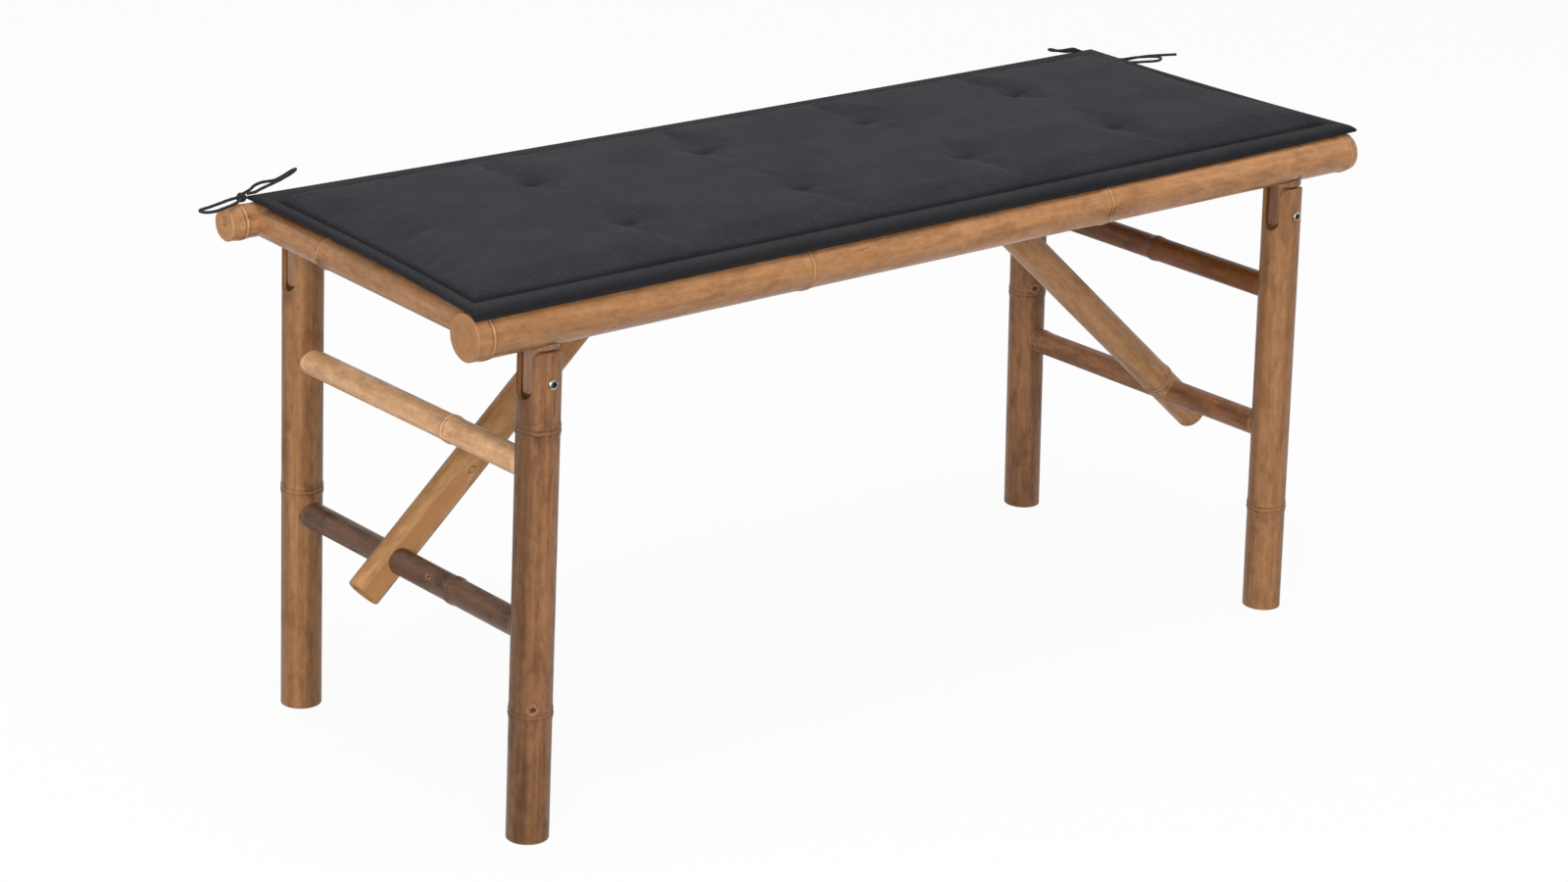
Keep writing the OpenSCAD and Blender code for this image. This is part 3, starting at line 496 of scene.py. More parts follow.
# %% The effect for cut faces
cut, given, result = effect(
    "cut bamboo", {"Grain": (0.0, 0.0, 0.0), "Seed": 0.0, "Out": 0.0, "Radius": 0.02, "Wood": "#d3ab7d",
                   "Bundle": "#8f6440"},
    {"Colour": "#ffffff", "Height": 0.0})
BUNDLES, CLOUD = (1150, 1150, 16), (90, 20, 3.0, 0.55)
DISC_RING, DISC_RING_WIDTH = 0.68, 0.26  # as shares of the cane's radius
shift = seed_shift(cut, (2.3, 4.1, 1.9), given["Seed"])
cells = wire(cut, "ShaderNodeTexVoronoi", {
    "Vector": vectors(cut, "ADD", vectors(cut, "MULTIPLY", given["Grain"], BUNDLES), shift), "Scale": 1.0})
dots = ramp(cut, cells.outputs["Distance"], 0.42, 0.16)
cloud = ramp(cut, long_noise(cut, given["Grain"], shift, *CLOUD), 0.35, 0.7)
share_out = sums(cut, "ADD", sums(cut, "DIVIDE", given["Out"], given["Radius"]),
                 sums(cut, "MULTIPLY", cloud, 0.12))
wood = given["Wood"]
for mask, share in ((cloud, 0.35), (dots, 0.4), (hump(cut, share_out, DISC_RING, DISC_RING_WIDTH), 0.22)):
    wood = tint(cut, wood, mask, share, given["Bundle"])
plug(cut, result, {"Colour": wood, "Height": sums(cut, "SUBTRACT", 1.0, dots)})
print("effect:", cut.name)

# %% [markdown]
# ## One finish for every cane
#
# All canes share one recipe: skin where the surface is as far out as the cane's radius,
# cut bamboo where it lies further in or faces along the axis, rings at the nodes, and a
# thin coat of varnish on the skin. Some have more: a brace has a natural groove, a crossbar
# a pale collar at each leg, and one leg a crack under its bolt. Each cane gets its own
# axis, rings, colours and seed, and a leg gets painted shade that darkens one side. One
# shared material would be lighter, but it would paint every leg the same.

# %% The recipe for a cane's finish
RING_DARK, SKIN_DEPTH, SKIN_FADE, COLLAR_HALF, CRACK_HALF = "#46301f", 0.0005, 0.0011, 0.005, 0.0009


def cane_finish(name, middle, along, across, radius, rings, colours, seed, streaks=0.5, stains=0.5,
                flecks=0.5, smoke=0.5, wood="#c99f6e", collar=None, crack=None, groove=None, shaded_side=None,
                varnish=0.14):
    """A varnished bamboo material for the cane on that axis.

    collar: distance of a worn band from the cane's middle.
    crack: its place across the cane, and both its ends along it.
    groove: how deep the skin reaches in it, and its tone.
    shaded_side: the side that painted shade darkens, and the share of brightness that it leaves.
    """
    material, tree, shader = finish_of(name)
    spot = use(tree, cane_space, Middle=tuple(middle), Along=tuple(along), Across=tuple(across))
    pale, body, dark = (paint(code) for code in colours)
    coat = use(tree, skin, Grain=spot["Grain"], Seed=seed, Pale=pale, Body=body, Dark=dark,
               Streaks=streaks, Stains=stains, Flecks=flecks)
    colour, so_far = coat["Colour"], {}
    for distance in rings:
        marks = use(tree, ring, Distance=spot["Distance"], Place=distance, Wobble=coat["Stain"], **so_far)
        so_far = {mark + "_so_far": marks[mark] for mark in ("Groove", "Rim", "Smoke")}
    if rings:
        colour = tint(tree, colour, marks["Smoke"], smoke, dark)
        colour = tint(tree, colour, marks["Rim"], 0.35, pale)
        colour = tint(tree, colour, marks["Groove"], 0.85, paint(RING_DARK))
    # Painted shade: the skin is darkened towards one side of the cane, down to the share given.
    if shaded_side:
        toward, depth = shaded_side
        lean = vectors(tree, "DOT_PRODUCT", spot["Grain"], toward, out=1)
        side_shade = ramp(tree, sums(tree, "MULTIPLY_ADD", coat["Fibre"], radius, lean),
                   0.1 * radius, 1.1 * radius, 1.0, depth)
        colour = blend_colours(tree, 1.0, colour, grey(tree, side_shade), "MULTIPLY")
    if collar:
        worn = hump(tree, sums(tree, "ABSOLUTE", spot["Distance"]), collar, COLLAR_HALF)
        colour = tint(tree, colour, worn, 0.6, pale)
    if crack:
        sides = wire(tree, "ShaderNodeSeparateXYZ", {"Vector": spot["Grain"]}).outputs
        offset, low, high = crack
        bent = sums(tree, "MULTIPLY_ADD", coat["Stain"], 0.001, sides["Y"])
        split = sums(tree, "MULTIPLY", hump(tree, bent, offset, CRACK_HALF), sums(
            tree, "MULTIPLY", hump(tree, sides["Z"], (low + high) / 2, (high - low) * 0.75),
            ramp(tree, sides["X"], 0.0, -0.01)))
        colour = blend_colours(tree, sums(tree, "MULTIPLY", split, 1.6, clamp=True), colour,
                               paint(RING_DARK))
    inner_from = SKIN_DEPTH
    if groove:
        inner_from, groove_tone = groove
        hollow = ramp(tree, spot["Out"], radius - 0.0002, radius - 0.0014)
        colour = tint(tree, colour, hollow, 0.75, paint(groove_tone))
    inner = use(tree, cut, Grain=spot["Grain"], Seed=seed, Out=spot["Out"], Radius=radius, Wood=paint(wood))
    bare = sums(tree, "MAXIMUM",
                ramp(tree, spot["Out"], radius - inner_from, radius - inner_from - SKIN_FADE),
                ramp(tree, spot["End face"], 0.6, 0.85))
    colour = blend_colours(tree, bare, colour, inner["Colour"])
    height = sums(tree, "ADD", coat["Fibre"], sums(tree, "MULTIPLY", inner["Height"], bare))
    feed(tree, shader, Base_Color=colour, Normal=relief(tree, height, 0.22, 0.0004),
         Roughness=sums(tree, "ADD", ramp(tree, coat["Stain"], 0.0, 1.0, 0.42, 0.54),
                        sums(tree, "MULTIPLY", bare, 0.2)),
         Coat_Weight=sums(tree, "MULTIPLY", sums(tree, "SUBTRACT", 1.0, bare), varnish),
         Coat_Roughness=0.26, Specular_IOR_Level=0.2)
    return material


def dress(node, material):
    """Gives a CAD node its material."""
    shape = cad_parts[node]
    shape.data.materials.clear()
    shape.data.materials.append(material)
    for face in shape.data.polygons:
        face.material_index = 0


print("recipe ready")

# %% [markdown]
# ## The seat frame's canes
#
# The front rail is the thickest cane and tapers from left to right. The end rails slant a
# little, because no cane frame is quite square. The places of the rings are those of the
# ridges in the CAD shape, so paint and shape meet.

# %% Dress the rails
RAIL_Y, FRONT_RAIL_Z, FRONT_RAIL_R, BACK_RAIL_Z, BACK_RAIL_R = 0.2, 0.52, 0.021, 0.526, 0.017
END_RAIL_X, END_RAIL_Z, END_RAIL_R, END_SLANT = 0.555, 0.523, 0.015, math.radians(2.5)
CROSS_RAIL_Z, CROSS_RAIL_R, CROSS_RAILS = 0.5215, 0.014, {"outer": 0.452, "inner": 0.201}

dress("front_rail", cane_finish(
    "front_rail_bamboo", (0, -RAIL_Y, FRONT_RAIL_Z), X, Y, FRONT_RAIL_R, (-0.573, -0.193, 0.213, 0.579),
    ("#c69567", "#ae794a", "#79492a"), seed=1.0, streaks=0.28, stains=0.4, flecks=0.7, smoke=0.35,
    wood="#b5835a", varnish=0.45))
dress("back_rail", cane_finish(
    "back_rail_bamboo", (0, RAIL_Y, BACK_RAIL_Z), X, Y, BACK_RAIL_R, (-0.574, -0.31, 0.06, 0.395),
    ("#cd9f72", "#b17d52", "#7a4d31"), seed=2.0, streaks=0.35, stains=0.4, wood="#c9996c",
    varnish=0.3))
for side, end in ((-1, "left"), (1, "right")):
    dress(end + "_end_rail", cane_finish(
        end + "_end_rail_bamboo", (side * END_RAIL_X, 0, END_RAIL_Z),
        (math.sin(END_SLANT), math.cos(END_SLANT), 0), Z, END_RAIL_R, (0.072,),
        ("#b58d64", "#9f6f49", "#6f4a2f"), seed=5.0 + side, streaks=0.4, stains=0.3))
    for part, distance in CROSS_RAILS.items():
        dress(f"{end}_{part}_cross_rail", cane_finish(
            f"{end}_{part}_cross_rail_bamboo", (side * distance, 0, CROSS_RAIL_Z), Y, Z, CROSS_RAIL_R,
            (), ("#c79b70", "#a97a50", "#744a2f"), seed=8.0 + side + 10 * distance))
print("rails dressed: 8")

# %% [markdown]
# ## The slats
#
# A slat is a strip split from a thick cane, so it keeps the cane's skin on its round top
# and shows cut bamboo on its flat underside and sides. It takes the same recipe, with the
# axis of the thick cane that it came from, and its rings at places of its own.

# %% Dress the slats
SLATS, SLAT_FRONT_Y, SLAT_PITCH, SLAT_CANE_R, SLAT_TOP_Z = 8, -0.177, 0.045, 0.02, 0.5425
FIRST_RING, RING_STEP, RING_GAP = -0.4, 0.11, 0.37
for i in range(SLATS):
    y = SLAT_FRONT_Y + SLAT_PITCH * (i + 0.5)
    first = FIRST_RING + RING_STEP * ((i * 3) % 5)
    dress(f"slat_{i + 1}", cane_finish(
        f"slat_{i + 1}_bamboo", (0, y, SLAT_TOP_Z - SLAT_CANE_R), X, Y, SLAT_CANE_R,
        (first, first + RING_GAP), ("#d9b184", "#c6996b", "#8f6240"), seed=20.0 + i, stains=0.3,
        wood="#d8b384"))
print("slats dressed:", SLATS)

# %% [markdown]
# ## The leg frames
#
# Both leg frames are one design turned half round, each with its own splay. Their canes
# are older and browner than the seat's, one leg nearly as pale as the rails and the others
# darker, as the photograph shows. The distance along a leg starts at the floor.

# %% Dress the legs and crossbars
HINGE_X, HINGE_Z, LEG_Y, LEG_R, BAR_R = 0.5015, 0.464, 0.196, 0.021, 0.0135
FOOT_OUT = {"left": 0.0045, "right": 0.0225}
SIDE, ROW = {"left": -1, "right": 1}, {"front": -1, "back": 1}
CRACK = (-0.0025, 0.43, 0.457)  # under the front left bolt


def leg_line(end):
    """A foot's place in x, and the direction up the leg."""
    return (SIDE[end] * (HINGE_X + FOOT_OUT[end]),
            Vector((-SIDE[end] * FOOT_OUT[end], 0, HINGE_Z)).normalized())


def leg_point(end, y, height):
    """A point of a leg frame's slanting plane."""
    foot_x, upward = leg_line(end)
    return Vector((foot_x, y, 0)) + upward * (height / upward.z)


LEGS = {  # row, end: rings, colours, cut wood, brightness left by the painted side shade, then seed, streaks, stains, flecks, smoke
    ("front", "left"): ((0.132, 0.417), ("#9d6f4b", "#7d5434", "#4c2f1c"), "#8a5f40", 0.64,
                        31.0, 0.6, 0.5, 0.8, 0.5),
    ("back", "left"): ((0.237,), ("#b3855b", "#94663f", "#5f371b"), "#a07650", 0.68,
                       32.0, 0.5, 0.4, 0.6, 0.9),
    ("front", "right"): ((0.122,), ("#bd8c62", "#9f6e46", "#6b4427"), "#a87c52", 0.86,
                         33.0, 0.4, 0.35, 0.5, 0.5),
    ("back", "right"): ((0.27,), ("#aa7a54", "#855b3c", "#4f3220"), "#96704a", 0.86,
                        34.0, 0.45, 0.5, 0.7, 0.6)}
for (row, end), (rings, colours, wood, depth, *amounts) in LEGS.items():
    foot_x, upward = leg_line(end)
    dress(f"{row}_{end}_leg", cane_finish(
        f"{row}_{end}_leg_bamboo", (foot_x, ROW[row] * LEG_Y, 0), upward, Y, LEG_R, rings, colours,
        *amounts, wood=wood, shaded_side=((-ROW[row] * 0.66, -ROW[row] * 0.75, 0), depth),
        crack=CRACK if (row, end) == ("front", "left") else None))

BAR_COLLAR = LEG_Y - LEG_R + 0.001
BARS = {  # name: height, rings, colours, seed, stains
    "left_upper": (0.3745, (-0.062,), ("#efc59b", "#dfac7c", "#a26d45"), 41.0, 0.35),
    "left_lower": (0.212, (-0.072,), ("#83614a", "#684936", "#3c291e"), 42.0, 0.7),
    "right_upper": (0.3745, (-0.148, 0.013), ("#88532c", "#6a3e1c", "#42210f"), 43.0, 0.5),
    "right_lower": (0.212, (-0.166,), ("#b07d55", "#8f6040", "#553521"), 44.0, 0.5)}
for name, (height, rings, colours, seed, stains) in BARS.items():
    end = name.split("_")[0]
    dress(name + "_crossbar", cane_finish(
        name + "_bar_bamboo", leg_point(end, 0, height), -SIDE[end] * Y, Z, BAR_R, rings, colours, seed,
        stains=stains, collar=BAR_COLLAR))
print("legs dressed:", len(LEGS), "crossbars dressed:", len(BARS))

# %% [markdown]
# ## The braces
#
# A brace is a round cane that leans from its crossbar to the inner cross rail, which lies
# in its notch. Its axis follows from the places of the bar and the rail, as in the CAD
# model. The left brace has the shallow groove that grows above each node on one side of a
# cane, where a branch lay: it keeps its skin there, only darker and more orange.

# %% Dress the braces
BRACE_R, BAR_OFF, NOTCH_OFF, BRACE_Y, LOW_BAR_Z = 0.0178, 0.001, 0.0273, 0.0345, 0.212
GROOVE = (0.0043, "#ad7a4e")
BRACES = {"left": ((0.335,), ("#d1a475", "#bb8754", "#8a5834"), 51.0, GROOVE),
          "right": ((0.024,), ("#d6a679", "#b78557", "#7c4f2f"), 52.0, None)}


def brace_line(end):
    """A point on a brace's axis, and the direction up along it."""
    pivot_x = HINGE_X + (HINGE_Z - LOW_BAR_Z) * FOOT_OUT[end] / HINGE_Z
    run, rise = pivot_x - CROSS_RAILS["inner"], CROSS_RAIL_Z - LOW_BAR_Z
    lean = math.atan2(rise, run) - math.asin(NOTCH_OFF / math.hypot(run, rise))
    middle = Vector((SIDE[end] * (pivot_x + math.sin(lean) * BAR_OFF), -SIDE[end] * BRACE_Y,
                     LOW_BAR_Z + math.cos(lean) * BAR_OFF))
    return middle, Vector((-SIDE[end] * math.cos(lean), 0, math.sin(lean)))


for end, (rings, colours, seed, groove) in BRACES.items():
    middle, upward = brace_line(end)
    dress(end + "_brace", cane_finish(
        end + "_brace_bamboo", middle, upward, Y, BRACE_R, rings, colours, seed,
        streaks=0.4, stains=0.25, flecks=0.4, wood="#c2935c", groove=groove))
    print(end, "brace leans", round(math.degrees(math.asin(upward.z)), 1), "degrees")

# %% [markdown]
# ## The hinge blocks
#
# The tongues between the ears of the legs are turned from solid wood and stained to match.
# Wood has no rings like a cane's, only grain, so the skin effect alone gives the colour,
# with its vector along the tongue.

# %% Dress the hinge blocks
BLOCKS = {
    ("front", "left"): ("#a97d58", "#8c6142", "#5a3c28"),
    ("back", "left"): ("#b98c62", "#9c704b", "#6b4630"),
    ("front", "right"): ("#a07150", "#80553a", "#523421"),
    ("back", "right"): ("#a27955", "#865d3f", "#553927")}
for number, ((row, end), (pale, body, dark)) in enumerate(BLOCKS.items()):
    name = f"{row}_{end}_hinge_block"
    material, tree, shader = finish_of(name + "_wood")
    spot = use(tree, cane_space, Middle=(SIDE[end] * HINGE_X, ROW[row] * LEG_Y, HINGE_Z))
    stained = use(tree, skin, Grain=spot["Grain"], Seed=61.0 + number, Pale=paint(pale), Body=paint(body),
                  Dark=paint(dark), Streaks=0.8, Stains=0.45, Flecks=0.4)
    feed(tree, shader, Base_Color=stained["Colour"], Normal=relief(tree, stained["Fibre"], 0.3, 0.0004),
         Roughness=ramp(tree, stained["Stain"], 0.0, 1.0, 0.42, 0.56), Coat_Weight=0.2, Coat_Roughness=0.3)
    dress(name, material)
print("hinge blocks dressed:", len(BLOCKS))

# %% [markdown]
# ## Bolts and nails
#
# The bolts are zinc-plated steel, bright with a soft shine and faint turning marks. The
# nails are plain wire, duller and a little tarnished. Metal takes nearly all its look from
# reflections, so colour varies only slightly, and roughness does most of the work. The
# six-sided recess in a bolt's head is painted dark and dull.

# %% Dress the steel
steel_marks, given, result = effect(
    "worked steel", {"Scale": 900.0, "Bright": "#c9c8c4", "Dull": "#8f8c86"},
    {"Colour": "#ffffff", "Roughness": 0.0, "Height": 0.0})
scratch = noise(steel_marks, here(steel_marks), given["Scale"], 3.0)
tarnish = ramp(steel_marks, noise(steel_marks, here(steel_marks), 260.0, 4.0), 0.42, 0.68)
plug(steel_marks, result, {
    "Colour": blend_colours(steel_marks, tarnish, given["Bright"], given["Dull"]),
    "Roughness": ramp(steel_marks, tarnish, 0.0, 1.0, 0.24, 0.5), "Height": scratch})


def steel_finish(name, bright, dull):
    """Steel in two tones: the material, its tree, its shader and its colour socket."""
    material, tree, shader = finish_of(name)
    marks = use(tree, steel_marks, Bright=paint(bright), Dull=paint(dull))
    feed(tree, shader, Base_Color=marks["Colour"], Roughness=marks["Roughness"],
         Normal=relief(tree, marks["Height"], 0.15, 0.0002), Metallic=1.0)
    return material, tree, shader, marks["Colour"]


RECESS_R, RECESS_EDGE, RECESS_DARK = 0.0029, 0.0001, "#171513"
for end in ("left", "right"):
    material, tree, shader, zinc = steel_finish(end + "_bolt_zinc", "#a9a294", "#6f685c")
    spot = use(tree, cane_space, Middle=(SIDE[end] * HINGE_X, 0, HINGE_Z), Along=tuple(Y), Across=tuple(X))
    recess = ramp(tree, spot["Out"], RECESS_R + RECESS_EDGE, RECESS_R - RECESS_EDGE)
    feed(tree, shader, Base_Color=blend_colours(tree, recess, zinc, paint(RECESS_DARK)),
         Metallic=sums(tree, "SUBTRACT", 1.0, recess))
    for row in ("front", "back"):
        dress(f"{row}_{end}_bolt", material)
    dress(end + "_bolt_nuts", steel_finish(end + "_nut_steel", "#b9b8b3", "#86837d")[0])
dull_steel = steel_finish("nail_wire", "#8d8982", "#5a544c")[0]
dress("slat_nails", dull_steel)
dress("tenon_nails", dull_steel)
print("steel dressed")

# %% [markdown]
# ## Bud scars
#
# Where a branch grew, a cane keeps an eye-shaped scar beside its node: a raised lip round a
# dark pit. Paint alone would look flat from the side, so each scar is a small mesh that
# lies on the cane. A ring of points is raised for the lip and sunk for the pit.

# %% Make the bud scars
def bark_finish(name, scale, detail, low, high, first, second, roughness):
    """Dull mottled bark, for the lip or the pit of a scar."""
    material, tree, shader = finish_of(name)
    spots = mottled(tree, noise(tree, here(tree), scale, detail), low, high, first, second)
    feed(tree, shader, Base_Color=spots, Roughness=roughness)
    return material


SCAR_FINISHES = (bark_finish("bud_scar", 900.0, 4.0, 0.35, 0.65, "#a87450", "#5a3824", 0.6),
                 bark_finish("bud_pit", 1400.0, 3.0, 0.3, 0.7, "#4c3020", "#2a1a12", 0.8))
# Each ring of a scar: its size as a share of the whole, and its height as a share of the lip's.
SCAR_STEPS = ((0.0, -0.4), (0.34, -0.35), (0.5, 0.2), (0.66, 0.6), (0.82, 0.3), (1.0, -1.5))
SCAR_AROUND, EYE_PINCH = 20, 0.25


def bud_scar(name, body, slot, axis_point, along, radius, facing, long, wide, lip):
    """An eye-shaped scar on a cane, at the side of its axis point that faces that way."""
    along = Vector(along).normalized()
    facing = (Vector(facing) - Vector(facing).dot(along) * along).normalized()
    sideways = along.cross(facing)
    mesh = bmesh.new()
    rows = []
    for share, height in SCAR_STEPS:
        row = []
        for k in range(SCAR_AROUND if share else 1):
            turn = 2 * math.pi * k / SCAR_AROUND
            u = long * share * math.cos(turn)
            v = wide * share * math.sin(turn) * (1 - EYE_PINCH * math.cos(turn) ** 2)
            lean = v / radius
            reach = radius + lip * height
            row.append(mesh.verts.new(Vector(axis_point) + along * u
                                      + reach * (math.cos(lean) * facing + math.sin(lean) * sideways)))
        rows.append(row)
    for k in range(SCAR_AROUND):
        after = (k + 1) % SCAR_AROUND
        mesh.faces.new((rows[0][0], rows[1][k], rows[1][after])).material_index = 1
        for inner, outer in zip(rows[1:], rows[2:]):
            mesh.faces.new((inner[k], outer[k], outer[after], inner[after]))
    mesh.normal_update()
    piece = add_piece(name, mesh, SCAR_FINISHES)
    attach(piece, body)


def on_leg(row, end, height):
    """A point on a leg's axis, and the direction up the leg."""
    return leg_point(end, ROW[row] * LEG_Y, height), leg_line(end)[1]


def on_brace(end, distance):
    """A point on a brace's axis, and the direction up along it."""
    middle, upward = brace_line(end)
    return middle + upward * distance, upward


GROOVE_TURN = math.radians(12)
lean = math.asin(brace_line("left")[1].z)
groove_side = Vector((-math.sin(lean) * math.sin(GROOVE_TURN), -math.cos(GROOVE_TURN),
                      math.cos(lean) * math.sin(GROOVE_TURN)))
SCARS = (  # name, body, slot, point on the axis and its direction, radius, facing, length, width, lip
    ("front_left_leg_scar", "left_leg_frame", "leg_bamboo", *on_leg("front", "left", 0.14),
     LEG_R + 0.0008, (-0.51, -0.86, 0), 0.0078, 0.0092, 0.0014),
    ("back_right_leg_scar", "right_leg_frame", "leg_bamboo", *on_leg("back", "right", 0.2775),
     LEG_R + 0.0008, (-0.34, -0.94, 0), 0.0078, 0.0095, 0.0014),
    ("left_lower_bar_scar", "left_leg_frame", "crossbar_bamboo",
     Vector((-0.50394, -0.0425, LOW_BAR_Z)), Y, BAR_R + 0.0006, (-0.62, 0, 0.4), 0.0055, 0.0038, 0.001),
    ("front_rail_scar", "seat", "rail_bamboo", Vector((-0.577, -RAIL_Y, FRONT_RAIL_Z)), X, 0.0242,
     (0, -0.35, 0.94), 0.005, 0.0045, 0.0012),
    ("left_brace_scar", "left_brace_body", "brace_bamboo", *on_brace("left", 0.115),
     BRACE_R - 0.0002, groove_side, 0.006, 0.0035, 0.0008),
    ("right_brace_scar", "right_brace_body", "brace_bamboo", *on_brace("right", 0.03),
     BRACE_R + 0.0003, (0.5, -0.8, -0.3), 0.0055, 0.0035, 0.001))
for scar in SCARS:
    bud_scar(*scar)
print("bud scars:", len(SCARS))

# %% [markdown]
# ## The cushion's cut
#
# The cushion is two sheets of dark cloth, sewn together along a flat edge all round and
# filled in the middle. It is modelled as its own grid of points, with more lines where the
# cloth turns sharply: the hem, the ridge over the rails, the seam and the pad's side. A
# remeshed block would give even squares, but it would round off the seam. The sewn edge is
# narrower at the ends, and hangs a little over the front rail. The corners pull out of
# square, and the back and the ends draw in between them, as the photograph shows.

# %% Lay out the cushion's grid
CUSHION_L, CUSHION_W, CUSHION_Y, CUSHION_Z = 1.19, 0.428, -0.004, 0.5444
CORNERS = np.array([[(0.004, 0), (0.003, 0.01)], [(0.038, 0), (0, -0.009)]])
DRAW_IN, LET_OUT, SEAM, END_SEAM = 0.006, 0.002, 0.033, 0.018
EDGE_LINES = (0, 0.0012, 0.003, 0.0055, 0.0085, 0.012, 0.0145, 0.0165, 0.0185, 0.023, 0.028, 0.0312, 0.033,
              0.0345, 0.037, 0.0405, 0.0445)
GRID_STEP, TUFT_R = 0.0065, 0.024
TUFTS = [(0.01 + (i - 1.5) * 0.22, -0.012 + s * 0.078) for i in range(4) for s in (-1, 1)]


def grid_lines(length, seam):
    """Distances from the middle: close together at both edges and even between."""
    half = length / 2
    edge = [d * seam / SEAM if d < SEAM else d + seam - SEAM for d in EDGE_LINES]
    middle = np.linspace(edge[-1] - half, half - edge[-1], round((length - 2 * edge[-1]) / GRID_STEP) + 1)
    return np.concatenate([[d - half for d in edge[:-1]], middle, [half - d for d in edge[-2::-1]]])


def plan(u, v):
    """A grid point's place seen from above."""
    a, b = 0.5 + u / CUSHION_L, 0.5 + v / CUSHION_W
    x = u * (1 - 2 * DRAW_IN / CUSHION_L * (1 - (2 * v / CUSHION_W) ** 2))
    y = v * (1 - 2 * np.where(v > 0, DRAW_IN, -LET_OUT) / CUSHION_W * (1 - (2 * u / CUSHION_L) ** 2))
    (fl, fr), (bl, br) = CORNERS
    shift = ((1 - a) * (1 - b))[..., None] * fl + (a * (1 - b))[..., None] * fr \
        + ((1 - a) * b)[..., None] * bl + (a * b)[..., None] * br
    return x + shift[..., 0], y + CUSHION_Y + shift[..., 1]


def quarter(t):
    """A quarter wave, from 0 to 1 while t goes from 0 to 1."""
    return np.sin(np.pi / 2 * np.clip(t, 0, 1))


def end_distance(u):
    """Distance from an end, with its narrow sewn edge stretched to the width of the others."""
    d = CUSHION_L / 2 - abs(u)
    return np.where(d < END_SEAM, d * SEAM / END_SEAM, d + SEAM - END_SEAM)


def edge_distance(u, v):
    """Distance from the nearest edge."""
    return np.minimum(end_distance(u), CUSHION_W / 2 - abs(v))


RIM_T, RIDGE_T, GROOVE_T, RIDGE_AT, RIM_HANG, RIM_WIDE = 0.0034, 0.0048, 0.0010, 0.0165, 0.0045, 0.012
HANG_MIDDLE, HANG_FALL = 1.6, 2.3
# Where the painted shade lies: the seam's crease, the flat edge, the rim, and an oval round each tuft.
CREASE_AT, CREASE_R, FLAT_TO, HEM_RUN, TUFT_SHADE_X, TUFT_SHADE_Y = 0.0325, 0.003, 0.030, 0.012, 0.017, 0.0065


def sewn_edge(d):
    """Height of the flat edge's top at a distance from the rim."""
    ridge = RIM_T + (RIDGE_T - RIM_T) * quarter(d / RIDGE_AT)
    fall = np.clip((d - RIDGE_AT) / (SEAM - RIDGE_AT), 0, 1)
    return np.where(d < RIDGE_AT, ridge, RIDGE_T - (RIDGE_T - GROOVE_T) * fall ** 1.6)


def hang(u, v):
    """The front rim droops over the rail, less so near the right end."""
    near_rim = np.clip(1 - (CUSHION_W / 2 + v) / RIM_WIDE, 0, 1) ** 2
    return RIM_HANG * np.minimum(1, HANG_MIDDLE - HANG_FALL * u / CUSHION_L) * near_rim


def max_of(fields):
    """The largest of several fields at each point."""
    return np.max(np.stack(fields), axis=0)


def tuft_pull(x, y):
    """One at each tuft, and next to nothing a tuft's radius away."""
    return max_of([np.exp(-2.5 * ((x - tx) ** 2 + (y - ty) ** 2) / TUFT_R ** 2) for tx, ty in TUFTS])


def seam_shade(u, v, x, y):
    """Painted shade on the top sheet: darker in the seam's crease, on the flat edge, most near the rim, and
    round each tuft.
    """
    d = edge_distance(u, v)
    crease = 0.78 * np.exp(-((d - CREASE_AT) / CREASE_R) ** 2)
    edge = np.where(d < FLAT_TO, 0.2, 0.0) + 0.5 * np.clip(1 - d / HEM_RUN, 0, 1)
    tuft_shade = [0.6 * np.exp(-((x - tx) / TUFT_SHADE_X) ** 2 - ((y - ty) / TUFT_SHADE_Y) ** 2) for tx, ty in TUFTS]
    return np.maximum(np.maximum(crease, edge), max_of(tuft_shade))


U, V = np.meshgrid(grid_lines(CUSHION_L, END_SEAM), grid_lines(CUSHION_W, SEAM))
XS, YS = plan(U, V)
inset = edge_distance(U, V).ravel()
print("cushion grid:", U.shape[1], "by", U.shape[0])

# %% [markdown]
# ## Filling the cushion
#
# A pad bulges because its filling pushes the cloth out while the seams and tufts hold it
# in. Blender's cloth simulation does just that: a pressure from inside, and pins where
# thread holds the cloth. The cloth starts as a slightly flatter pad with one hundredth of
# spare length. How far a point may move is capped, so that the pad keeps its measured
# height.

# %% Blow up the pad
PAD_RISE, PAD_SIDE, CROWN, CROWN_RUN, TUFT_DEPTH = 0.0105, 0.011, 0.004, 0.09, 0.0055
FRAMES, PRESSURE, SPARE, MOST_MOVE, TUFT_PIN_R, SEAM_PIN = 20, 4.0, 0.012, 0.005, 0.0045, 0.002
TUFTS_FROM, UNDER = 0.004, 0.002


def pad_height(u, v, x, y):
    """Height of the cloth above the rails before it swells."""
    d = edge_distance(u, v)
    full_u = quarter((end_distance(u) - SEAM - PAD_SIDE / 2) / CROWN_RUN)
    full_v = quarter((CUSHION_W / 2 - abs(v) - SEAM - PAD_SIDE / 2) / CROWN_RUN)
    inside = np.clip((d - SEAM) / TUFTS_FROM, 0, 1)
    return sewn_edge(np.minimum(d, SEAM)) - hang(u, v) + PAD_RISE * quarter((d - SEAM) / PAD_SIDE) \
        + CROWN * full_u * full_v - inside * TUFT_DEPTH * tuft_pull(x, y)


def grid_faces(rows, columns):
    """The squares of a grid, as four point numbers each."""
    corner = (np.arange(rows - 1)[:, None] * columns + np.arange(columns - 1)).ravel()
    return np.column_stack([corner, corner + 1, corner + columns + 1, corner + columns])


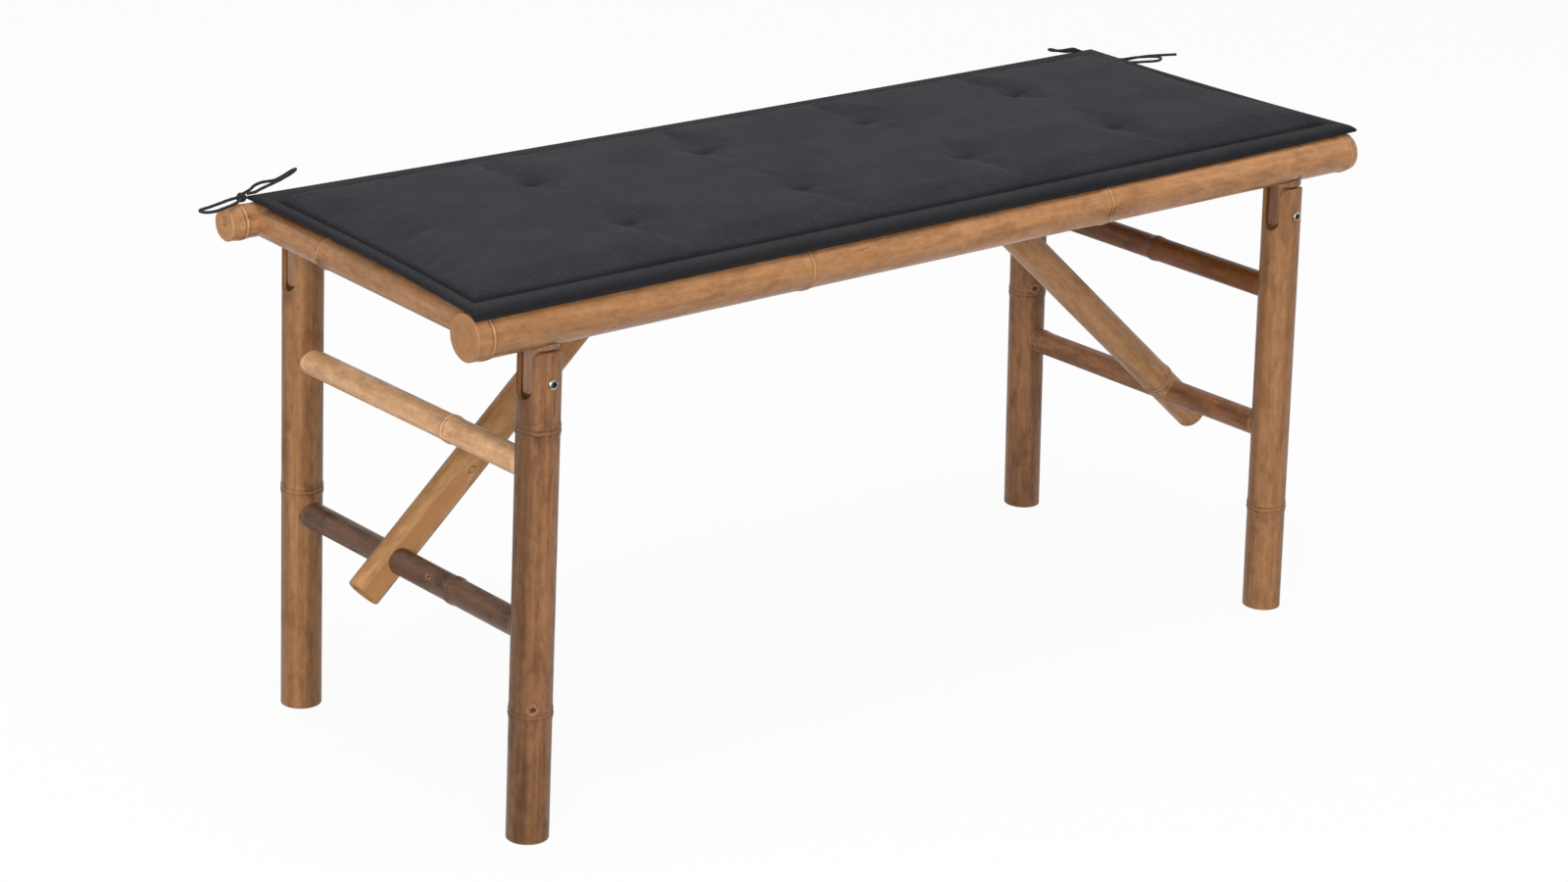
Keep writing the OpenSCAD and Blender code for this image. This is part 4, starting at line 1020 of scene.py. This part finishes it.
def rim_loop(rows, columns):
    """The grid's outermost points, counterclockwise from above."""
    at = np.arange(rows * columns).reshape(rows, columns)
    return np.concatenate([at[0, :-1], at[:-1, -1], at[-1, :0:-1], at[:0:-1, 0]])


start = np.column_stack([XS.ravel(), YS.ravel(), (CUSHION_Z + pad_height(U, V, XS, YS)).ravel()])
loop = rim_loop(*U.shape)


def swell(points):
    """Simulates the cloth and returns where its points come to rest."""
    data = bpy.data.meshes.new("trial_pad")
    floor_point = len(points)
    fan = [(int(loop[i]), floor_point, int(loop[(i + 1) % len(loop)])) for i in range(len(loop))]
    data.from_pydata(points.tolist() + [(0, CUSHION_Y, CUSHION_Z - UNDER)], [],
                     grid_faces(*U.shape).tolist() + fan)
    pad = bpy.data.objects.new("trial_pad", data)
    bpy.context.scene.collection.objects.link(pad)
    pins = pad.vertex_groups.new(name="pins")
    nearest = np.min([np.hypot(points[:, 0] - x, points[:, 1] - y) for x, y in TUFTS], axis=0)
    held = (inset < SEAM + SEAM_PIN) | (nearest < TUFT_PIN_R)
    pins.add([int(i) for i in np.flatnonzero(held)] + [floor_point], 1.0, "REPLACE")
    cloth = pad.modifiers.new("cloth", "CLOTH")
    rules = cloth.settings
    rules.quality, rules.mass = 6, 0.3
    rules.tension_stiffness = rules.compression_stiffness = 18
    rules.shear_stiffness, rules.bending_stiffness = 8, 0.6
    rules.vertex_group_mass, rules.shrink_min = "pins", -SPARE
    rules.use_pressure, rules.uniform_pressure_force = True, PRESSURE
    rules.effector_weights.gravity = 0
    cloth.point_cache.frame_start, cloth.point_cache.frame_end = 1, FRAMES
    for moment in range(1, FRAMES + 1):
        bpy.context.scene.frame_set(moment)
    posed = pad.evaluated_get(bpy.context.evaluated_depsgraph_get()).data
    moved = np.empty(len(posed.vertices) * 3)
    posed.vertices.foreach_get("co", moved)
    moved = moved.reshape(-1, 3)[:len(points)]
    bpy.context.scene.frame_set(1)
    bpy.data.objects.remove(pad)
    bpy.data.meshes.remove(data)
    return moved


top = start.copy()
drift = swell(start) - start
reach = np.linalg.norm(drift, axis=1)
drift *= np.minimum(1, MOST_MOVE / np.maximum(reach, 1e-9))[:, None]
top = start + drift
print("cloth moved up to", round(1000 * reach.max(), 1), "mm; mean of the pad",
      round(1000 * reach[inset > SEAM].mean(), 2), "mm")

# %% [markdown]
# ## Sewing the cushion shut
#
# The underside is flat where it lies on the rails and sags a little onto the slats
# between them. A rounded hem joins the two sheets. One subdivision at the end smooths the
# faces without losing the seam, because the grid has close lines there.

# %% Build the cushion
weave, given, result = effect(
    "plain weave",
    {"Place": (0.0, 0.0, 0.0), "Pitch": 0.0009, "Dark thread": "#36353a", "Pale thread": "#4d4c51"},
    {"Colour": "#ffffff", "Height": 0.0, "Lint": 0.0})
axes = wire(weave, "ShaderNodeSeparateXYZ", {"Vector": given["Place"]}).outputs
threads = [sums(weave, "SINE", sums(
    weave, "DIVIDE", sums(weave, "MULTIPLY", axes[i], math.pi), given["Pitch"])) for i in (0, 1)]
over = ramp(weave, sums(weave, "MULTIPLY", *threads), -0.4, 0.4)
slub = [noise(weave, vectors(weave, "MULTIPLY", given["Place"], squeeze), 1.0, 3.0)
        for squeeze in ((1300, 60, 60), (60, 1300, 60))]
thread = wire(weave, "ShaderNodeMix", {"Factor": over, "A": slub[0], "B": slub[1]}).outputs[0]
tone = ramp(weave, thread, 0.3, 0.7)
plug(weave, result, {
    "Colour": blend_colours(weave, tone, given["Dark thread"], given["Pale thread"]),
    "Height": sums(weave, "MULTIPLY", *(sums(weave, "ABSOLUTE", t) for t in threads)),
    "Lint": noise(weave, given["Place"], 14.0, 4.0)})


def cloth_finish(name, dark, pale):
    """Matt woven polyester with a little sheen, with painted shade where the mesh's seam_shade says so."""
    material, tree, shader = finish_of(name)
    woven = use(tree, weave, Place=here(tree), Dark_thread=paint(dark), Pale_thread=paint(pale))
    cloudy = ramp(tree, woven["Lint"], 0.35, 0.7, 0.0, 0.08)
    # Painted shade from the mesh, on top of the lint's random clouding.
    painted_shade = wire(tree, "ShaderNodeAttribute", attribute_name="seam_shade").outputs["Fac"]
    lint_and_shade = sums(tree, "MAXIMUM", cloudy, painted_shade)
    feed(tree, shader, Base_Color=blend_colours(tree, lint_and_shade, woven["Colour"], paint("#000000")),
         Normal=relief(tree, woven["Height"], 0.25, 0.0003), Sheen_Weight=0.02, Sheen_Roughness=0.5,
         Roughness=ramp(tree, woven["Lint"], 0.3, 0.7, 0.85, 0.95), Specular_IOR_Level=0.12)
    return material


cushion_cloth = cloth_finish("cushion_weave", "#29282c", "#39383d")
SAG, HEM_OUT, HEM_SHADE, AT_RIM = 0.0016, 0.0009, 0.45, 1e-6
HEM_STEPS = ((0.8, 0.75), (0.5, 1.0), (0.2, 0.75))  # share of the height, share of the bulge
SAG_Y, SAG_Y_RUN, SAG_X, SAG_X_RUN = RAIL_Y - 0.03, 0.05, 0.52, 0.06
between_rails = quarter((SAG_Y - abs(YS)) / SAG_Y_RUN) * quarter((SAG_X - abs(XS)) / SAG_X_RUN)
under = np.column_stack([XS.ravel(), YS.ravel(), (CUSHION_Z - hang(U, V) - SAG * between_rails).ravel()])
count = len(top)
rim_top, rim_low = top[loop], under[loop]
side = np.sign(rim_top - (0, CUSHION_Y, 0))
outward = np.column_stack([side[:, 0] * (abs(U.ravel()[loop]) > CUSHION_L / 2 - AT_RIM),
                           side[:, 1] * (abs(V.ravel()[loop]) > CUSHION_W / 2 - AT_RIM),
                           np.zeros(len(loop))])
hem = [rim_low + (rim_top - rim_low) * share + outward * HEM_OUT * bulge for share, bulge in HEM_STEPS]
points = np.vstack([top, under, *hem])
sheet = grid_faces(*U.shape)
n = len(loop)
belts = [loop] + [np.arange(n) + 2 * count + k * n for k in range(len(hem))] + [loop + count]
sides = [np.column_stack([lower, np.roll(lower, -1), np.roll(upper, -1), upper])
         for upper, lower in zip(belts, belts[1:])]
faces = np.vstack([sheet, sheet[:, ::-1] + count, *sides]).tolist()
data = bpy.data.meshes.new("tufted_cushion")
data.from_pydata(points.tolist(), [], faces)
# Painted shade for each point: seam_shade on the top sheet, none underneath, HEM_SHADE all over the hem.
shades = np.concatenate([seam_shade(U, V, XS, YS).ravel(), np.zeros(count),
                         np.full(len(hem) * n, HEM_SHADE)])
data.attributes.new("seam_shade", "FLOAT", "POINT").data.foreach_set("value", shades.astype(np.float32))
cushion = add_object("tufted_cushion", data, [cushion_cloth])
finer = cushion.modifiers.new("finer", "SUBSURF")
finer.levels = finer.render_levels = 1
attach(cushion, "seat")
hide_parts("cushion")
print("cushion faces:", len(faces))

# %% [markdown]
# ## Stitches and tuft threads
#
# A row of stitches runs beside the seam, and a crossed thread pulls each tuft down. Each
# stitch is a small round thread that dips into the cloth at both ends. They could be
# painted, but a thread catches light on its own, which a painted dash doesn't.

# %% Sew the stitches
STITCH, STITCH_GAP, THREAD_R, STITCH_LINE = 0.0032, 0.0011, 0.00032, 0.0298
STITCH_RISE = np.array([-0.0004, 0.0002, 0.00032, 0.0002, -0.0004])
TUFT_THREAD_R, CROSS_REACH, CROSS_LIFT, CROSS_DIP = 0.0006, 0.0042, 0.0007, 0.0006
thread_finish = cloth_finish("sewing_thread", "#2b2a2e", "#45444a")


def seam_path():
    """The line beside the seam, as grid distances from the middle, walked all round."""
    a, b = CUSHION_L / 2 - STITCH_LINE * END_SEAM / SEAM, CUSHION_W / 2 - STITCH_LINE
    return [((-a, -b), (a, -b)), ((a, -b), (a, b)), ((a, b), (-a, b)), ((-a, b), (-a, -b))]


mesh = bmesh.new()
stitches = 0
for (u0, v0), (u1, v1) in seam_path():
    length = math.hypot(u1 - u0, v1 - v0)
    number = round(length / (STITCH + STITCH_GAP))
    for k in range(number):
        t = (np.linspace(k, k + STITCH / (STITCH + STITCH_GAP), len(STITCH_RISE)) + 0.15) / number
        u, v = u0 + (u1 - u0) * t, v0 + (v1 - v0) * t
        x, y = plan(u, v)
        z = CUSHION_Z + sewn_edge(edge_distance(u, v)) - hang(u, v) + STITCH_RISE
        tube(mesh, np.column_stack([x, y, z]), THREAD_R, around=6)
        stitches += 1
stitching = add_piece("seam_stitches", mesh, [thread_finish])
mesh = bmesh.new()
t = np.linspace(-1, 1, 9)
for x, y in TUFTS:
    base = top[np.argmin(np.hypot(top[:, 0] - x, top[:, 1] - y))]
    for turn in (0.5, 2.0):
        line = np.column_stack([base[0] + CROSS_REACH * t * math.cos(turn),
                                base[1] + CROSS_REACH * t * math.sin(turn),
                                base[2] + CROSS_LIFT - CROSS_DIP * t ** 2])
        tube(mesh, line, TUFT_THREAD_R, around=8)
tuft_threads = add_piece("tuft_threads", mesh, [thread_finish])
for piece in (stitching, tuft_threads):
    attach(piece, "seat")
print("stitches:", stitches, "tufts:", len(TUFTS))

# %% [markdown]
# ## Floor and light
#
# The photograph is a cut-out on white. Here the floor and the world look white to the
# camera, to mirrors and through glass, and throw no more light on the bench than a grey
# studio would. The floor keeps a soft shadow. One large lamp stands at the front left, low
# enough to reach the braces under the seat, and one hangs overhead. Together they give the
# canes bright backs and darker undersides.

# %% Set the stage
WHITE_SHARE, FLOOR_SIZE, FLOOR_GREY, FLOOR_WHITE, AMBIENT = 0.93, 14.0, 0.42, 0.99, 0.45
FLOOR_DROP, LAMPS_AIM = 0.0005, Vector((0, 0, 0.35))


def empty_tree(owner):
    """The node tree of a material or world, with nothing in it."""
    owner.use_nodes = True
    owner.node_tree.nodes.clear()
    return owner.node_tree


def seen_directly(tree):
    """One for rays from the camera, mirrors and glass."""
    rays = wire(tree, "ShaderNodeLightPath").outputs
    seen_or_mirrored = sums(tree, "MAXIMUM", rays["Is Camera Ray"], rays["Is Glossy Ray"])
    return sums(tree, "MAXIMUM", seen_or_mirrored, rays["Is Transmission Ray"])


mesh = bmesh.new()
bmesh.ops.create_grid(mesh, x_segments=8, y_segments=8, size=FLOOR_SIZE / 2)
material = bpy.data.materials.new("white_floor")
tree = empty_tree(material)
seen = seen_directly(tree)
tone = sums(tree, "MULTIPLY_ADD", seen, FLOOR_WHITE - FLOOR_GREY, FLOOR_GREY)
matt = wire(tree, "ShaderNodeBsdfDiffuse", {"Color": grey(tree, tone)}).outputs[0]
glow = wire(tree, "ShaderNodeEmission", {"Strength": 1.0}).outputs[0]
white_share = sums(tree, "MULTIPLY", seen, WHITE_SHARE)
mixed = wire(tree, "ShaderNodeMixShader", {"Fac": white_share, 1: matt, 2: glow})
wire(tree, "ShaderNodeOutputMaterial", {"Surface": mixed.outputs[0]})
floor = add_piece("floor", mesh, [material])
floor.location.z = -FLOOR_DROP

world = bpy.data.worlds.new("white_studio")
bpy.context.scene.world = world
tree = empty_tree(world)
strength = sums(tree, "MULTIPLY_ADD", seen_directly(tree), 1.0 - AMBIENT, AMBIENT)
wire(tree, "ShaderNodeOutputWorld", {"Surface": wire(tree, "ShaderNodeBackground", {
    "Color": (1, 1, 1, 1), "Strength": strength}).outputs[0]})

LAMPS = (  # name, place, size, watts
    ("overhead_softbox", (-0.5, -0.7, 5.5), 3.0, 105),
    ("front_left_softbox", (-3.3, -3.3, 1.7), 1.8, 139))
for name, place, size, watts in LAMPS:
    lamp = bpy.data.lights.new(name, "AREA")
    lamp.shape, lamp.size, lamp.energy = "SQUARE", size, watts
    holder = bpy.data.objects.new(name, lamp)
    bpy.context.scene.collection.objects.link(holder)
    holder.location = place
    holder.rotation_euler = (LAMPS_AIM - Vector(place)).to_track_quat("-Z", "Y").to_euler()
bpy.context.scene.view_settings.view_transform = "Standard"
print("lamps:", len(LAMPS))
